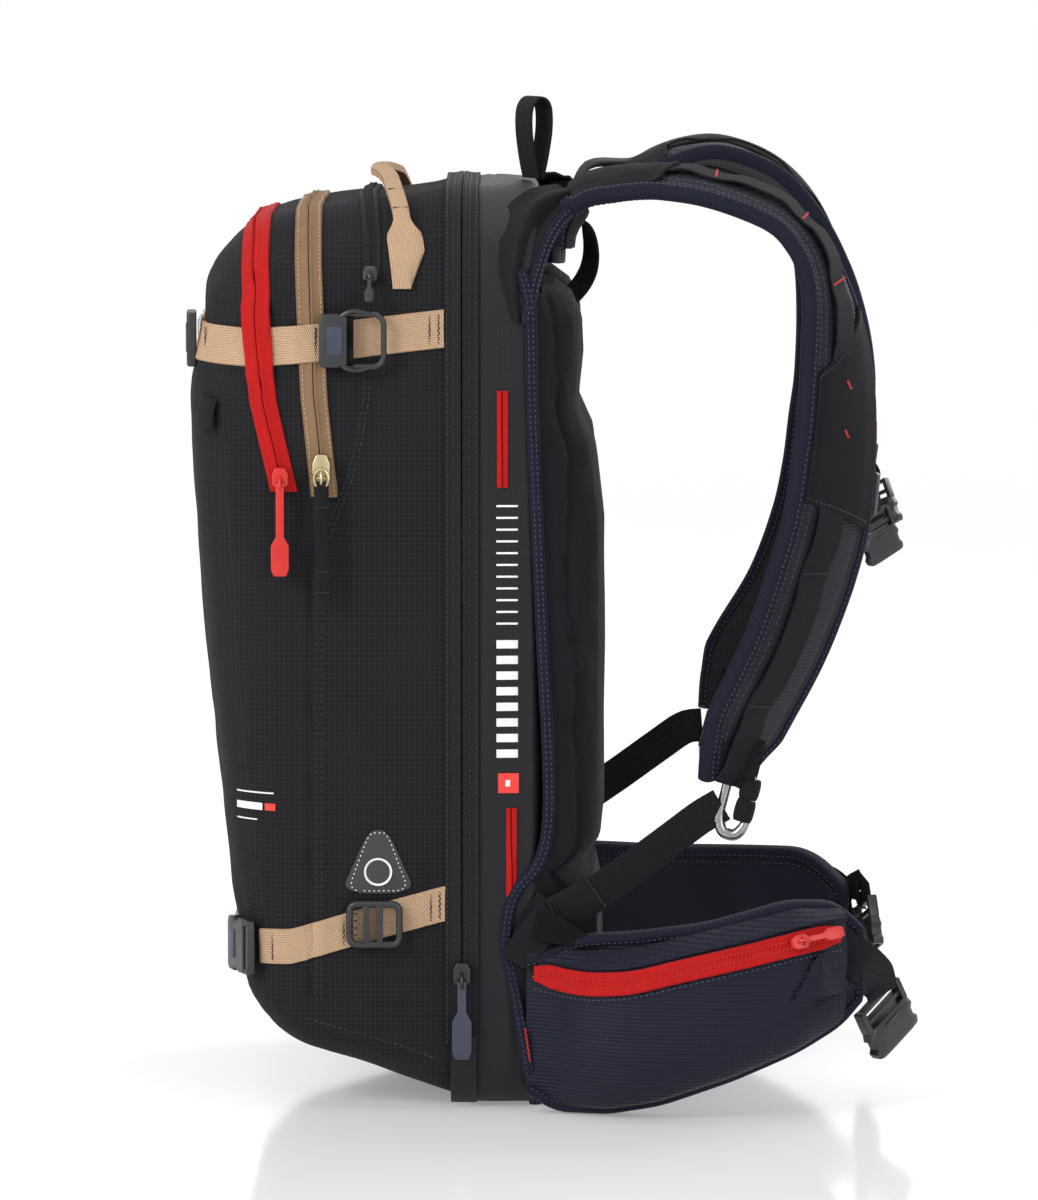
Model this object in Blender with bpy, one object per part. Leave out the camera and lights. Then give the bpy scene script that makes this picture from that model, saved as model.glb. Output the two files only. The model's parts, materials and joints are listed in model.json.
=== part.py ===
"""Avalanche airbag backpack: a clamshell pack of about 18 litres with a twin airbag in its perimeter band.

Metres. +Z is up, +Y points from the pack towards the wearer, +X is the wearer's right.
The origin is the middle of the flat base of the airbag band, on which the pack stands.
"""

import bmesh
import bpy
from math import cos, pi, radians, sin
from mathutils import Vector
from mathutils.bvhtree import BVHTree

# ---------------------------------------------------------------- driving dimensions
HALF_WIDTH = 0.135          # of the pack at its perimeter zip
HEIGHT = 0.517              # of the pack body
ZIP_Y = -0.028              # plane of the perimeter zip, where the clamshell parts
RIM_GAP = 0.0025            # from that plane to either shell's rim
FRONT_DEPTH = 0.150         # of the front shell at its fullest
FULLEST_HEIGHT = 0.400      # where the front shell is deepest
BACK_WALL_Y = 0.016         # outer face of the back wall
SHELL_WALL = 0.004
TOP_RADIUS = 0.068          # of the body's corners seen from behind
BASE_RADIUS = 0.030
FRONT_EDGE_RADIUS = 0.046
BACK_EDGE_RADIUS = 0.007
SIDE_BULGE = 0.005
GAP = 0.0004                # between pieces that rest on each other
WEBBING = 0.0014            # thickness of strap webbing
STRAP_THICKNESS = 0.012     # of the padded shoulder straps
STRAP_WIDTH = 0.062
TAPE = 0.0012               # thickness of a zip tape
CROWN_RADIUS = 0.125        # sweep of the pocket zips over the top

CORNER_STEPS = 5
BASE_STEPS = 4
SIDE_STEPS = 9
TOP_STEPS = 6

BLACK = (0.012, 0.012, 0.014)
NAVY = (0.022, 0.028, 0.045)
RED = (0.72, 0.03, 0.02)
TAN = (0.42, 0.27, 0.15)
STEEL = (0.62, 0.62, 0.62)


# ---------------------------------------------------------------- scene and object helpers
def clear_scene():
    for obj in list(bpy.data.objects):
        bpy.data.objects.remove(obj)


def make_material(name, colour, roughness=0.8, metallic=0.0):
    material = bpy.data.materials.new(name)
    material.use_nodes = True
    shader = material.node_tree.nodes["Principled BSDF"]
    shader.inputs["Base Color"].default_value = (*colour, 1.0)
    shader.inputs["Roughness"].default_value = roughness
    shader.inputs["Metallic"].default_value = metallic
    return material


MATERIALS = {}
PIVOTS = {}


def add_body(name, pivot, parent=None):
    """An empty on a moving body's joint axis, which its pieces are parented to."""
    empty = bpy.data.objects.new("axis_" + name, None)
    bpy.context.scene.collection.objects.link(empty)
    origin = Vector(pivot)
    if parent:
        empty.parent = PIVOTS[parent][0]
        empty.location = origin - PIVOTS[parent][1]
    else:
        empty.location = origin
    PIVOTS[name] = (empty, origin)


def add_mesh(name, points, faces, material, body=None):
    """One named object. Its points are given in the part's frame and stored from its body's axis."""
    empty, origin = PIVOTS.get(body, (None, Vector((0, 0, 0))))
    mesh = bpy.data.meshes.new(name)
    mesh.from_pydata([Vector(p) - origin for p in points], [], faces)
    bm = bmesh.new()
    bm.from_mesh(mesh)
    bmesh.ops.recalc_face_normals(bm, faces=bm.faces)
    bm.to_mesh(mesh)
    bm.free()
    mesh.shade_smooth()
    mesh.set_sharp_from_angle(angle=radians(40))
    mesh.materials.append(MATERIALS[material])
    obj = bpy.data.objects.new(name, mesh)
    obj.parent = empty
    bpy.context.scene.collection.objects.link(obj)
    return obj


def loft(name, rings, material, body=None, closed=False):
    """A closed solid through rings of equally many points, capped at both ends or joined end to end."""
    count = len(rings[0])
    points = [p for ring in rings for p in ring]
    faces = []
    spans = len(rings) if closed else len(rings) - 1
    for i in range(spans):
        a, b = i * count, ((i + 1) % len(rings)) * count
        for j in range(count):
            k = (j + 1) % count
            faces.append((a + j, a + k, b + k, b + j))
    if not closed:
        faces.append(tuple(range(count)))
        faces.append(tuple(range(len(points) - count, len(points))))
    return add_mesh(name, points, faces, material, body)


def smooth_path(knots, steps):
    """Points along a Catmull-Rom curve through the knots, steps to each stretch."""
    knots = [Vector(k) for k in knots]
    padded = [2 * knots[0] - knots[1], *knots, 2 * knots[-1] - knots[-2]]
    points = []
    for i in range(1, len(padded) - 2):
        a, b, c, d = padded[i - 1 : i + 3]
        for s in range(steps):
            t = s / steps
            points.append(
                0.5 * (2 * b + (c - a) * t + (2 * a - 5 * b + 4 * c - d) * t**2
                       + (3 * b - a - 3 * c + d) * t**3)
            )
    points.append(knots[-1])
    return points


def tangents(points):
    last = len(points) - 1
    return [(points[min(i + 1, last)] - points[max(i - 1, 0)]).normalized() for i in range(last + 1)]


def band_section(centre, across, normal, width, thickness):
    """A strap's cross-section: a flat hexagon with slightly rounded edges."""
    w, t = across * width / 2, normal * thickness / 2
    return [centre - w, centre - w * 0.93 + t, centre + w * 0.93 + t,
            centre + w, centre + w * 0.93 - t, centre - w * 0.93 - t]


def strap(name, points, across, width, thickness, material, body=None):
    """A flat strap through points. across gives its width direction at each point."""
    rings = []
    for point, along, side in zip(points, tangents(points), across):
        side = (side - along * side.dot(along)).normalized()
        rings.append(band_section(point, side, side.cross(along).normalized(), width, thickness))
    return loft(name, rings, material, body)


def outline_plate(name, outline, origin, u, v, thickness, material, body=None):
    """A plate from a flat outline of (u, v) points, standing up from origin along the plate's normal."""
    n = u.cross(v).normalized() * thickness
    ring = [origin + u * a + v * b for a, b in outline]
    return loft(name, [ring, [p + n for p in ring]], material, body)


def rounded_rectangle(half_u, half_v, radius, steps=3, centre=(0.0, 0.0)):
    points = []
    for quarter, (su, sv) in enumerate(((1, 1), (-1, 1), (-1, -1), (1, -1))):
        for s in range(steps + 1):
            a = (quarter + s / steps) * pi / 2
            points.append((centre[0] + su * (half_u - radius) + radius * cos(a),
                           centre[1] + sv * (half_v - radius) + radius * sin(a)))
    return points


def frame_plate(name, outer, hole, origin, u, v, thickness, material, body=None):
    """A plate with one hole: a closed loft round the four edges of its rim."""
    n = u.cross(v).normalized() * thickness

    def ring(outline, lift):
        return [origin + u * a + v * b + lift for a, b in outline]

    zero = Vector((0, 0, 0))
    rings = [ring(outer, zero), ring(outer, n), ring(hole, n), ring(hole, zero)]
    return loft(name, rings, material, body, closed=True)


def slab(name, low, high, bevel, material, body=None):
    """A box between two corners with rounded edges."""
    bm = bmesh.new()
    bmesh.ops.create_cube(bm, size=1.0)
    low, high = Vector(low), Vector(high)
    for vert in bm.verts:
        vert.co = Vector(low[k] + (vert.co[k] + 0.5) * (high[k] - low[k]) for k in range(3))
    bmesh.ops.bevel(bm, geom=list(bm.edges), offset=bevel, segments=2, profile=0.5, affect="EDGES")
    bm.verts.index_update()
    points = [v.co.copy() for v in bm.verts]
    faces = [tuple(v.index for v in f.verts) for f in bm.faces]
    bm.free()
    return add_mesh(name, points, faces, material, body)


def turned(name, profile, centre, material, body=None, steps=16):
    """A solid of revolution about a vertical line. The profile is (radius, height) from the bottom up."""
    rings = []
    for radius, height in profile:
        rings.append([
            Vector((centre[0] + radius * cos(2 * pi * s / steps),
                    centre[1] + radius * sin(2 * pi * s / steps), height))
            for s in range(steps)
        ])
    return loft(name, rings, material, body)


def tube(name, points, radius, material, body=None, steps=8, closed=False):
    """A round tube along points, with its sections kept square to the path."""
    along = tangents(points)
    if closed:
        last = len(points)
        along = [(points[(i + 1) % last] - points[i - 1]).normalized() for i in range(last)]
    side = along[0].orthogonal().normalized()
    rings = []
    for point, direction in zip(points, along):
        side = (side - direction * side.dot(direction)).normalized()
        up = direction.cross(side)
        rings.append([point + radius * (side * cos(2 * pi * s / steps) + up * sin(2 * pi * s / steps))
                      for s in range(steps)])
    return loft(name, rings, material, body, closed)


# ---------------------------------------------------------------- the body's perimeter
def perimeter(inset=0.0, low=0.0):
    """(x, z) round the body seen from behind, from the middle of the base up the +X side and round."""
    half, bottom, top = HALF_WIDTH - inset, low + inset, HEIGHT - inset
    base_r, top_r = max(BASE_RADIUS - inset, 0.006), max(TOP_RADIUS - inset, 0.008)

    def arc(cx, cz, radius, start):
        return [(cx + radius * cos(start + s / CORNER_STEPS * pi / 2),
                 cz + radius * sin(start + s / CORNER_STEPS * pi / 2)) for s in range(CORNER_STEPS + 1)]

    base = [((half - base_r) * s / BASE_STEPS, bottom) for s in range(BASE_STEPS)]
    corner = arc(half - base_r, bottom + base_r, base_r, -pi / 2)
    z0, z1 = bottom + base_r, top - top_r
    side = [(half, z0 + (z1 - z0) * s / SIDE_STEPS) for s in range(1, SIDE_STEPS)]
    shoulder = arc(half - top_r, z1, top_r, 0.0)
    crown = [((half - top_r) * (1 - s / TOP_STEPS), top) for s in range(1, TOP_STEPS)]
    right = base + corner + side + shoulder + crown
    left = [(-x, z) for x, z in right[1:]][::-1]
    return right + [(0.0, top)] + left


def front_ring(depth, inset):
    """A ring of the front shell: depth is measured from its rim, and inset towards its middle."""
    ring = []
    share = depth / FRONT_DEPTH
    for x, z in perimeter(inset, low=0.004):
        lean = 1 - 0.70 * max(0.0, FULLEST_HEIGHT - z) ** 1.25 - 0.20 * max(0.0, z - FULLEST_HEIGHT)
        bulge = SIDE_BULGE * sin(pi * min(max(z / HEIGHT, 0), 1)) * sin(pi * share) if share < 1 else 0
        rise = 0.27 * depth * (1 - z / HEIGHT) ** 4
        drop = 0.14 * depth * (z / HEIGHT) ** 6
        ring.append(Vector((x * (1 + bulge / HALF_WIDTH), ZIP_Y - RIM_GAP - depth * lean, z + rise - drop)))
    return ring


def shell_sections(depth, edge, wall_inset, crown):
    """(depth, inset) of a tub's rings from its rim round its edge to its middle."""
    sections = [(s / 4 * (depth - edge), wall_inset) for s in range(5)]
    for s in range(1, 5):
        a = s / 4 * pi / 2
        sections.append((depth - edge + edge * sin(a), wall_inset + edge * (1 - cos(a))))
    for share in (0.35, 0.7, 1.0):
        inset = wall_inset + edge + share * (HALF_WIDTH - 0.012 - wall_inset - edge)
        sections.append((depth + crown * sin(share * pi / 2), inset))
    return sections


def front_shell():
    outer = [front_ring(d, i) for d, i in shell_sections(FRONT_DEPTH, FRONT_EDGE_RADIUS, 0.0, 0.004)]
    inner = [front_ring(d, i) for d, i in shell_sections(
        FRONT_DEPTH - SHELL_WALL, FRONT_EDGE_RADIUS - SHELL_WALL, SHELL_WALL, 0.004)]
    return loft("front_shell", outer[::-1] + inner, "black_ripstop", "front_shell")


def back_ring(y, inset):
    return [Vector((x, y, z)) for x, z in perimeter(inset)]


def back_shell():
    """The airbag band with the back wall, open towards the front shell, with a port for the trigger cable."""
    rim = ZIP_Y + RIM_GAP
    r = BACK_EDGE_RADIUS
    middle = HALF_WIDTH - 0.02
    outer = [(BACK_WALL_Y, middle), (BACK_WALL_Y, 0.06), (BACK_WALL_Y, r)]
    outer += [(BACK_WALL_Y - r * (1 - cos(a)), r * (1 - sin(a))) for a in (pi / 6, pi / 3, pi / 2)]
    outer += [(0.0, 0.0), (rim, 0.0)]
    inside = BACK_WALL_Y - SHELL_WALL
    inner = [(rim, SHELL_WALL), (inside, SHELL_WALL), (inside, 0.06), (inside, middle)]
    rings = [back_ring(y, i) for y, i in outer + inner]
    shell = loft("back_shell", rings, "coated_black")
    port = turned("cable_port_cutter", [(0.0055, -0.02), (0.0055, 0.02)], (0, 0), "coated_black", steps=12)
    port.rotation_euler = (pi / 2, 0, 0)
    port.location = (CABLE_PORT_X, BACK_WALL_Y, CABLE_PORT_Z)
    port.hide_render = True
    port.display_type = "WIRE"
    cut = shell.modifiers.new("cable_port", "BOOLEAN")
    cut.object = port
    cut.operation = "DIFFERENCE"
    return shell


def perimeter_index(side_height):
    """Index of the first perimeter point on the +X side at or above a height."""
    return next(i for i, (x, z) in enumerate(perimeter()) if z >= side_height and x > 0)


def band_solid(name, start, end, inset_low, inset_high, y0, y1, material, body=None):
    """A solid that follows the body's perimeter from point start to point end."""
    a, b = perimeter(inset_low), perimeter(inset_high)
    rings = []
    for i in range(start, end + 1):
        (ax, az), (bx, bz) = a[i], b[i]
        rings.append([Vector((ax, y0, az)), Vector((bx, y0, bz)), Vector((bx, y1, bz)), Vector((ax, y1, az))])
    return loft(name, rings, material, body)


# ---------------------------------------------------------------- things laid on the front shell
def surface_of(obj):
    """A search tree of an object's mesh in the part's frame."""
    origin = Vector(obj.parent.location) if obj.parent else Vector((0, 0, 0))
    points = [v.co + origin for v in obj.data.vertices]
    return BVHTree.FromPolygons(points, [tuple(p.vertices) for p in obj.data.polygons])


def hit(tree, target, outward):
    """The outermost point of the surface on the line from target along outward, with the way out."""
    outward = Vector(outward).normalized()
    point, normal, _, _ = tree.ray_cast(Vector(target) + outward * 0.5, -outward)
    return point, normal if normal.dot(outward) > 0 else -normal


def laid_strip(name, tree, stations, width, thickness, material, body, lift):
    """A flat strip on the shell. stations are (target, outward, across); lift(point) is its clearance."""
    rings = []
    for target, outward, across in stations:
        top, bottom = [], []
        for share in (-1, 0, 1):
            point, normal = hit(tree, Vector(target) + Vector(across) * share * width / 2, outward)
            clear = lift(point)
            bottom.append(point + normal * clear)
            top.append(point + normal * (clear + thickness))
        rings.append(bottom + top[::-1])
    return loft(name, rings, material, body)


def over_top_stations(low_z, y_of_z, count):
    """Stations of a zip that rises up the right side, crosses the top and comes down the left."""
    stations = []
    centre_z = HEIGHT - 0.11
    side = centre_z - low_z
    total = 2 * side + pi * CROWN_RADIUS
    for i in range(count + 1):
        s = i / count * total
        if s < side:
            z, out = low_z + s, Vector((1, 0, 0))
            target = Vector((0, y_of_z(z), z))
        elif s > total - side:
            z, out = low_z + total - s, Vector((-1, 0, 0))
            target = Vector((0, y_of_z(z), z))
        else:
            a = (s - side) / CROWN_RADIUS
            out = Vector((cos(a), 0, sin(a)))
            target = Vector((0, y_of_z(centre_z + 0.1 * sin(a)), centre_z))
        stations.append((target, out, Vector((0, 1, 0))))
    return stations


def round_front_stations(start, end, z_of_angle, count):
    """Stations of a strap round the shell. Angles in degrees: 0 is the right side and 90 the front."""
    stations = []
    for i in range(count + 1):
        a = radians(start + (end - start) * i / count)
        target = Vector((0, -0.095, z_of_angle(a)))
        stations.append((target, Vector((cos(a), -sin(a), 0)), Vector((0, 0, 1))))
    return stations


def between(value, knots):
    """Straight-line value between (input, output) knots in rising order of input."""
    if value <= knots[0][0]:
        return knots[0][1]
    for (a, fa), (b, fb) in zip(knots, knots[1:]):
        if value <= b:
            return fa + (fb - fa) * (value - a) / (b - a)
    return knots[-1][1]


def bump(value, low, high, edge=0.006):
    """1 between low and high, falling to 0 over edge on either side."""
    return max(0.0, min(1.0, (value - low) / edge + 1, (high - value) / edge + 1))


# Pocket zips: how far down the side each ends, and its Y by height.
RED_ZIP_END = 0.350
RED_ZIP = ((0.350, -0.1270), (0.400, -0.1385), (0.456, -0.1430), (0.520, -0.1430))
TAN_ZIP_END = 0.347
TAN_ZIP = ((0.347, -0.1045), (0.400, -0.1100), (0.456, -0.1135), (0.520, -0.1150))
TOP_ZIP_END = 0.462
TOP_ZIP = ((0.462, -0.0780), (0.495, -0.0815), (0.520, -0.0840))
POCKET_TAPE_WIDTH = 0.0150
TAPE_LIFT = 0.0014          # clearance of a pocket zip's tape over the shell

# Compression straps: height by angle round the shell, and where the front buckle breaks each.
STRAP_START = -21.0
UPPER_STRAP = ((-21, 0.440), (0, 0.434), (20, 0.430), (45, 0.432), (90, 0.432))
LOWER_STRAP = ((-21, 0.116), (-6, 0.106), (12, 0.093), (30, 0.090), (90, 0.094))
UPPER_WIDTH = 0.0215
LOWER_WIDTH = 0.0200


def strap_height(knots):
    return lambda a: between(min(a, pi - a) * 180 / pi, knots)


def pocket_zips(tree):
    def red_lift(p):
        return TAPE_LIFT + 0.0024 * bump(p.z, 0.414, 0.452) * (abs(p.x) > 0.05)

    def plain_lift(p):
        return TAPE_LIFT

    for name, low, knots, width, lift, count, material in (
        ("red_zip_tape", RED_ZIP_END, RED_ZIP, POCKET_TAPE_WIDTH, red_lift, 64, "red_tape"),
        ("tan_zip_tape", TAN_ZIP_END, TAN_ZIP, POCKET_TAPE_WIDTH, plain_lift, 64, "tan_webbing"),
        ("top_zip_tape", TOP_ZIP_END, TOP_ZIP, 0.0100, plain_lift, 46, "black_webbing"),
    ):
        stations = over_top_stations(low, lambda z, k=knots: between(z, k), count)
        laid_strip(name, tree, stations, width, TAPE, material, "front_shell", lift)


def compression_straps(tree):
    def upper_lift(p):
        return 0.0012 + 0.0020 * bump(p.y, -0.122, -0.098) * (abs(p.x) > 0.05)

    def lower_lift(p):
        return 0.0012

    for name, knots, width, lift, (right_end, left_start) in (
        ("upper_strap", UPPER_STRAP, UPPER_WIDTH, upper_lift, (40.0, 48.0)),
        ("lower_strap", LOWER_STRAP, LOWER_WIDTH, lower_lift, (20.5, 28.5)),
    ):
        for side, start, end, count in (
            ("right", STRAP_START, right_end, 24),
            ("left", left_start, 180 - STRAP_START, 48),
        ):
            stations = round_front_stations(start, end, strap_height(knots), count)
            laid_strip(f"{name}_{side}", tree, stations, width, WEBBING, "tan_webbing", "front_shell", lift)


def surface_frame(tree, angle, height, side=1):
    """(point, along the strap towards the front, up, outward) on the shell at an angle round it."""
    a = radians(angle)
    point, _ = hit(tree, (0, -0.095, height), (side * cos(a), -sin(a), 0))
    ahead, _ = hit(tree, (0, -0.095, height), (side * cos(a + 0.05), -sin(a + 0.05), 0))
    along = (ahead - point).normalized()
    up = Vector((0, 0, 1))
    outward = along.cross(up).normalized()
    if outward.dot(point - Vector((0, -0.095, height))) < 0:
        outward = -outward
    return point, along, up, outward


def strap_buckles(tree):
    """Six buckles on the compression straps. Each tips about a vertical axis along its rear edge."""
    for name, angle, height, side, half, slot, lift in (
        ("upper_side_buckle_right", -2.4, 0.4345, 1, (0.0180, 0.0155), (0.0045, 0.0115, 0.0095), 0.0056),
        ("upper_side_buckle_left", -2.4, 0.4345, -1, (0.0180, 0.0155), (0.0045, 0.0115, 0.0095), 0.0056),
        ("lower_side_buckle_right", -7.5, 0.1065, 1, (0.0160, 0.0135), (0.0050, 0.0105, -0.0075), 0.0036),
        ("lower_side_buckle_left", -7.5, 0.1065, -1, (0.0160, 0.0135), (0.0050, 0.0105, -0.0075), 0.0036),
        ("upper_front_buckle", 44.0, 0.432, 1, (0.0150, 0.0160), (0.0040, 0.0115, -0.0065), 0.0044),
        ("lower_front_buckle", 24.5, 0.091, 1, (0.0150, 0.0160), (0.0040, 0.0115, -0.0065), 0.0044),
    ):
        point, along, up, outward = surface_frame(tree, angle, height, side)
        origin = point + outward * lift
        pivot = origin - along * half[0]
        add_body(name, pivot, "front_shell")
        u, v = (along, up) if along.cross(up).dot(outward) > 0 else (up, along)
        outer = rounded_rectangle(half[0], half[1], 0.004, 2)
        hole = rounded_rectangle(slot[0], slot[1], 0.0015, 2, centre=(-slot[2], 0.0))
        if u is up:
            outer = [(b, a) for a, b in outer][::-1]
            hole = [(b, a) for a, b in hole][::-1]
        frame_plate(name, outer, hole, origin, u, v, 0.0045, "black_plastic", name)


def grab_handle(tree):
    """The tan handle across the top, with its ends sewn down either side."""
    stations = []
    for i in range(31):
        a = radians(16 + 148 * i / 30)
        lean = -0.0600 - 0.0160 * sin(a) ** 2
        stations.append((Vector((0, lean, 0.420)), Vector((cos(a), 0, sin(a))), Vector((0, 1, 0))))

    def lift(p):
        across = abs(p.x)
        return 0.0014 + 0.0020 * bump(across, 0, 0.118) + 0.0090 * max(0.0, 1 - (across / 0.090) ** 2)

    laid_strip("top_grab_handle", tree, stations, 0.0160, 0.0018, "tan_webbing", "front_shell", lift)


# ---------------------------------------------------------------- zip sliders and pulls
def slider_and_pull(prefix, seat, outward, down, parent, size, pull, material, pull_material):
    """A slider block on a zip tape with a bridge, and the pull that hangs from it.

    seat is the middle of the slider's underside. The pull is (length, width, neck length, thickness).
    """
    outward, down = Vector(outward).normalized(), Vector(down).normalized()
    length, width, height = size
    seat = Vector(seat)
    add_body(prefix + "_slider", seat, parent)
    outline = [(-length / 2, -width * 0.30), (-length * 0.2, -width / 2), (length * 0.35, -width / 2),
               (length / 2, -width * 0.25), (length / 2, width * 0.25), (length * 0.35, width / 2),
               (-length * 0.2, width / 2), (-length / 2, width * 0.30)]
    u, v = down, outward.cross(down).normalized()
    outline_plate(prefix + "_slider", outline, seat, u, v, height, material, prefix + "_slider")
    tall, wide, neck, thick = pull
    pivot = seat + down * length * 0.3 + outward * (height + thick / 2 + GAP)
    add_body(prefix + "_pull", pivot, prefix + "_slider")
    half = wide / 2
    shape = [(0.0, -half * 0.45), (neck, -half * 0.45), (neck + half, -half), (tall - half * 0.8, -half),
             (tall, -half * 0.7), (tall, half * 0.7), (tall - half * 0.8, half), (neck + half, half),
             (neck, half * 0.45), (0.0, half * 0.45)]
    base = pivot - outward * thick / 2
    outline_plate(prefix + "_pull", shape, base, u, v, thick, pull_material, prefix + "_pull")


def zip_sliders(tree):
    right, down = Vector((1, 0, 0)), Vector((0, 0, -1))
    for prefix, z, knots, size, pull, material, pull_material in (
        ("red_zip", RED_ZIP_END + 0.008, RED_ZIP, (0.011, 0.009, 0.0050), (0.0515, 0.0100, 0.0295, 0.0022),
         "red_plastic", "red_plastic"),
        ("tan_zip", TAN_ZIP_END + 0.016, TAN_ZIP, (0.016, 0.010, 0.0060), (0.0705, 0.0085, 0.008, 0.0022),
         "brass_metal", "black_webbing"),
        ("top_zip", TOP_ZIP_END + 0.006, TOP_ZIP, (0.009, 0.008, 0.0045), (0.0160, 0.0050, 0.007, 0.0022),
         "black_plastic", "black_plastic"),
    ):
        point, normal = hit(tree, (0, between(z, knots), z), right)
        seat = point + normal * (TAPE_LIFT + TAPE + 2 * GAP)
        slope = (down - normal * down.dot(normal)).normalized()
        slider_and_pull(prefix, seat, normal, slope, "front_shell", size, pull, material, pull_material)
    seat = Vector((HALF_WIDTH + 0.0008 + TAPE + GAP, ZIP_Y, 0.078))
    slider_and_pull("main_zip", seat, right, down, None, (0.013, 0.010, 0.0055),
                    (0.0440, 0.0110, 0.017, 0.0026), "black_metal", "navy_plastic")


# ---------------------------------------------------------------- inside the pack
CANISTER_AXIS = (-0.030, -0.0270)
CABLE_PORT_X = -0.030
CABLE_PORT_Z = 0.478


def airbag_system():
    """Two folded airbags in the band, the gas canister, its inflator head, lever and manifold."""
    first, top = perimeter_index(0.060), len(perimeter()) // 2
    for name, start, end in (
        ("airbag_right", first, top - 1),
        ("airbag_left", top + 1, len(perimeter()) - first),
    ):
        band_solid(name, start, end, 0.0050, 0.0260, -0.0210, 0.0075, "airbag_cloth")
    cx, cy = CANISTER_AXIS
    profile = [(0.010, 0.080), (0.018, 0.083), (0.0220, 0.091), (0.0220, 0.230), (0.019, 0.243),
               (0.012, 0.251), (0.0095, 0.255), (0.0095, 0.268)]
    turned("gas_canister", profile, (cx, cy), "anodised_aluminium")
    slab("inflator_head", (cx - 0.019, cy - 0.017, 0.2684), (cx + 0.019, cy + 0.017, 0.335), 0.004,
         "anodised_aluminium")
    lever_pivot = Vector((cx - 0.0225, cy, 0.325))
    add_body("inflator_lever", lever_pivot)
    shape = [(-0.005, -0.006), (0.005, -0.006), (0.006, 0.024), (0.0, 0.030), (-0.006, 0.024)]
    outline_plate("inflator_lever", shape, lever_pivot + Vector((0.0015, 0, 0)), Vector((0, 1, 0)),
                  Vector((0, 0, -1)), 0.0030, "red_plastic", "inflator_lever")
    knots = [(-0.1040, -0.008, 0.372), (-0.0800, -0.010, 0.366), (-0.0450, -0.024, 0.3500),
             (0.0000, -0.024, 0.3500), (0.0550, -0.012, 0.372), (0.1040, -0.008, 0.390)]
    tube("inflation_manifold", smooth_path(knots, 4), 0.0075, "black_rubber", steps=10)


def back_frame():
    """The frame sheet and the aluminium stay bent round it."""
    slab("frame_sheet", (-0.100, 0.0090, 0.030), (0.100, 0.0112, 0.462), 0.0006, "frame_plastic")
    knots = [(0.052, 0.0050, 0.045), (0.052, 0.0050, 0.250), (0.050, 0.0050, 0.410), (0.030, 0.0050, 0.448),
             (-0.030, 0.0050, 0.448), (-0.050, 0.0050, 0.410), (-0.052, 0.0050, 0.250), (-0.052, 0.0050, 0.045)]
    tube("frame_stay", smooth_path(knots, 4), 0.0030, "aluminium")


# How far the back padding stands out, by height.
PAD_FACE = ((0.014, 0.034), (0.020, 0.044), (0.032, 0.050), (0.132, 0.0525), (0.330, 0.0525), (0.372, 0.048),
            (0.400, 0.038), (0.440, 0.040), (0.455, 0.036), (0.462, 0.026))


def pad(name, x0, x1, heights):
    """A pad on the back wall with rounded vertical edges, thinned at its two ends."""
    rings = []
    back = BACK_WALL_Y + GAP
    for i, z in enumerate(heights):
        face = between(z, PAD_FACE)
        if i in (0, len(heights) - 1):
            face = min(face, back + 0.014)
        r = min(0.010, (face - back) * 0.6)
        rings.append([Vector((x, y, z)) for x, y in (
            (x0, back), (x1, back), (x1, face - r), (x1 - r * 0.3, face - r * 0.3), (x1 - r, face),
            (x0 + r, face), (x0 + r * 0.3, face - r * 0.3), (x0, face - r))])
    loft(name, rings, "back_mesh")


def back_padding():
    upper = (0.138, 0.143, 0.200, 0.270, 0.330, 0.372, 0.400, 0.440, 0.455, 0.462)
    pad("back_pad_right", 0.0145, 0.108, upper)
    pad("back_pad_left", -0.108, -0.0145, upper)
    pad("lumbar_pad", -0.104, 0.104, (0.014, 0.020, 0.032, 0.080, 0.127, 0.132))


def tool_sleeve():
    """The panel inside the front shell that holds the shovel and the probe."""
    slab("tool_sleeve", (-0.085, -0.1220, 0.075), (0.085, -0.1200, 0.400), 0.0005, "navy_cloth", "front_shell")


# ---------------------------------------------------------------- harness
RIGHT_STRAP = (
    (0.070, 0.0235, 0.4750), (0.070, 0.0265, 0.4950), (0.072, 0.0390, 0.5125), (0.076, 0.0610, 0.5190),
    (0.082, 0.0880, 0.5205), (0.090, 0.1180, 0.5165), (0.099, 0.1500, 0.5040), (0.106, 0.1680, 0.4860),
    (0.112, 0.1775, 0.4630), (0.116, 0.1815, 0.4340), (0.120, 0.1825, 0.3990), (0.124, 0.1815, 0.3660),
    (0.127, 0.1785, 0.3330), (0.129, 0.1715, 0.3000), (0.131, 0.1570, 0.2620), (0.132, 0.1400, 0.2270),
    (0.132, 0.1305, 0.2050),
)
# Turn of the strap's width about its run, in degrees: 0 lies across the shoulder.
STRAP_TURN = (0, 0, 0, 0, 0, 3, 6, 9, 13, 20, 27, 32, 35, 36, 34, 32, 30)
STRAP_STEPS = 2
LEFT_LIFT = 0.005           # the left strap is pulled in a little shorter


def strap_line(side):
    """Centreline points and width directions of a shoulder strap. side is 1 on the wearer's right."""
    knots = []
    for i, (x, y, z) in enumerate(RIGHT_STRAP):
        pulled = LEFT_LIFT * max(0, i - 9) / 7 if side < 0 else 0.0
        arch = 0.003 * sin(pi * min(i / 9, 1)) if side < 0 else 0.0
        forward = 0.010 * sin(pi * min(max(i - 6, 0) / 9, 1)) if side < 0 else 0.0
        knots.append((side * x, y + forward - 0.3 * pulled, z + pulled + arch))
    points = smooth_path(knots, STRAP_STEPS)
    across = []
    for i, along in enumerate(tangents(points)):
        k = i / STRAP_STEPS
        turn = radians(between(k, [(j, t) for j, t in enumerate(STRAP_TURN)]))
        flat = Vector((side, 0, 0))
        flat = (flat - along * flat.dot(along)).normalized()
        lift = along.cross(flat).normalized()
        if lift.y + lift.z < 0:
            lift = -lift
        across.append((flat * cos(turn) - lift * sin(turn)).normalized())
    return points, across


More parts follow.
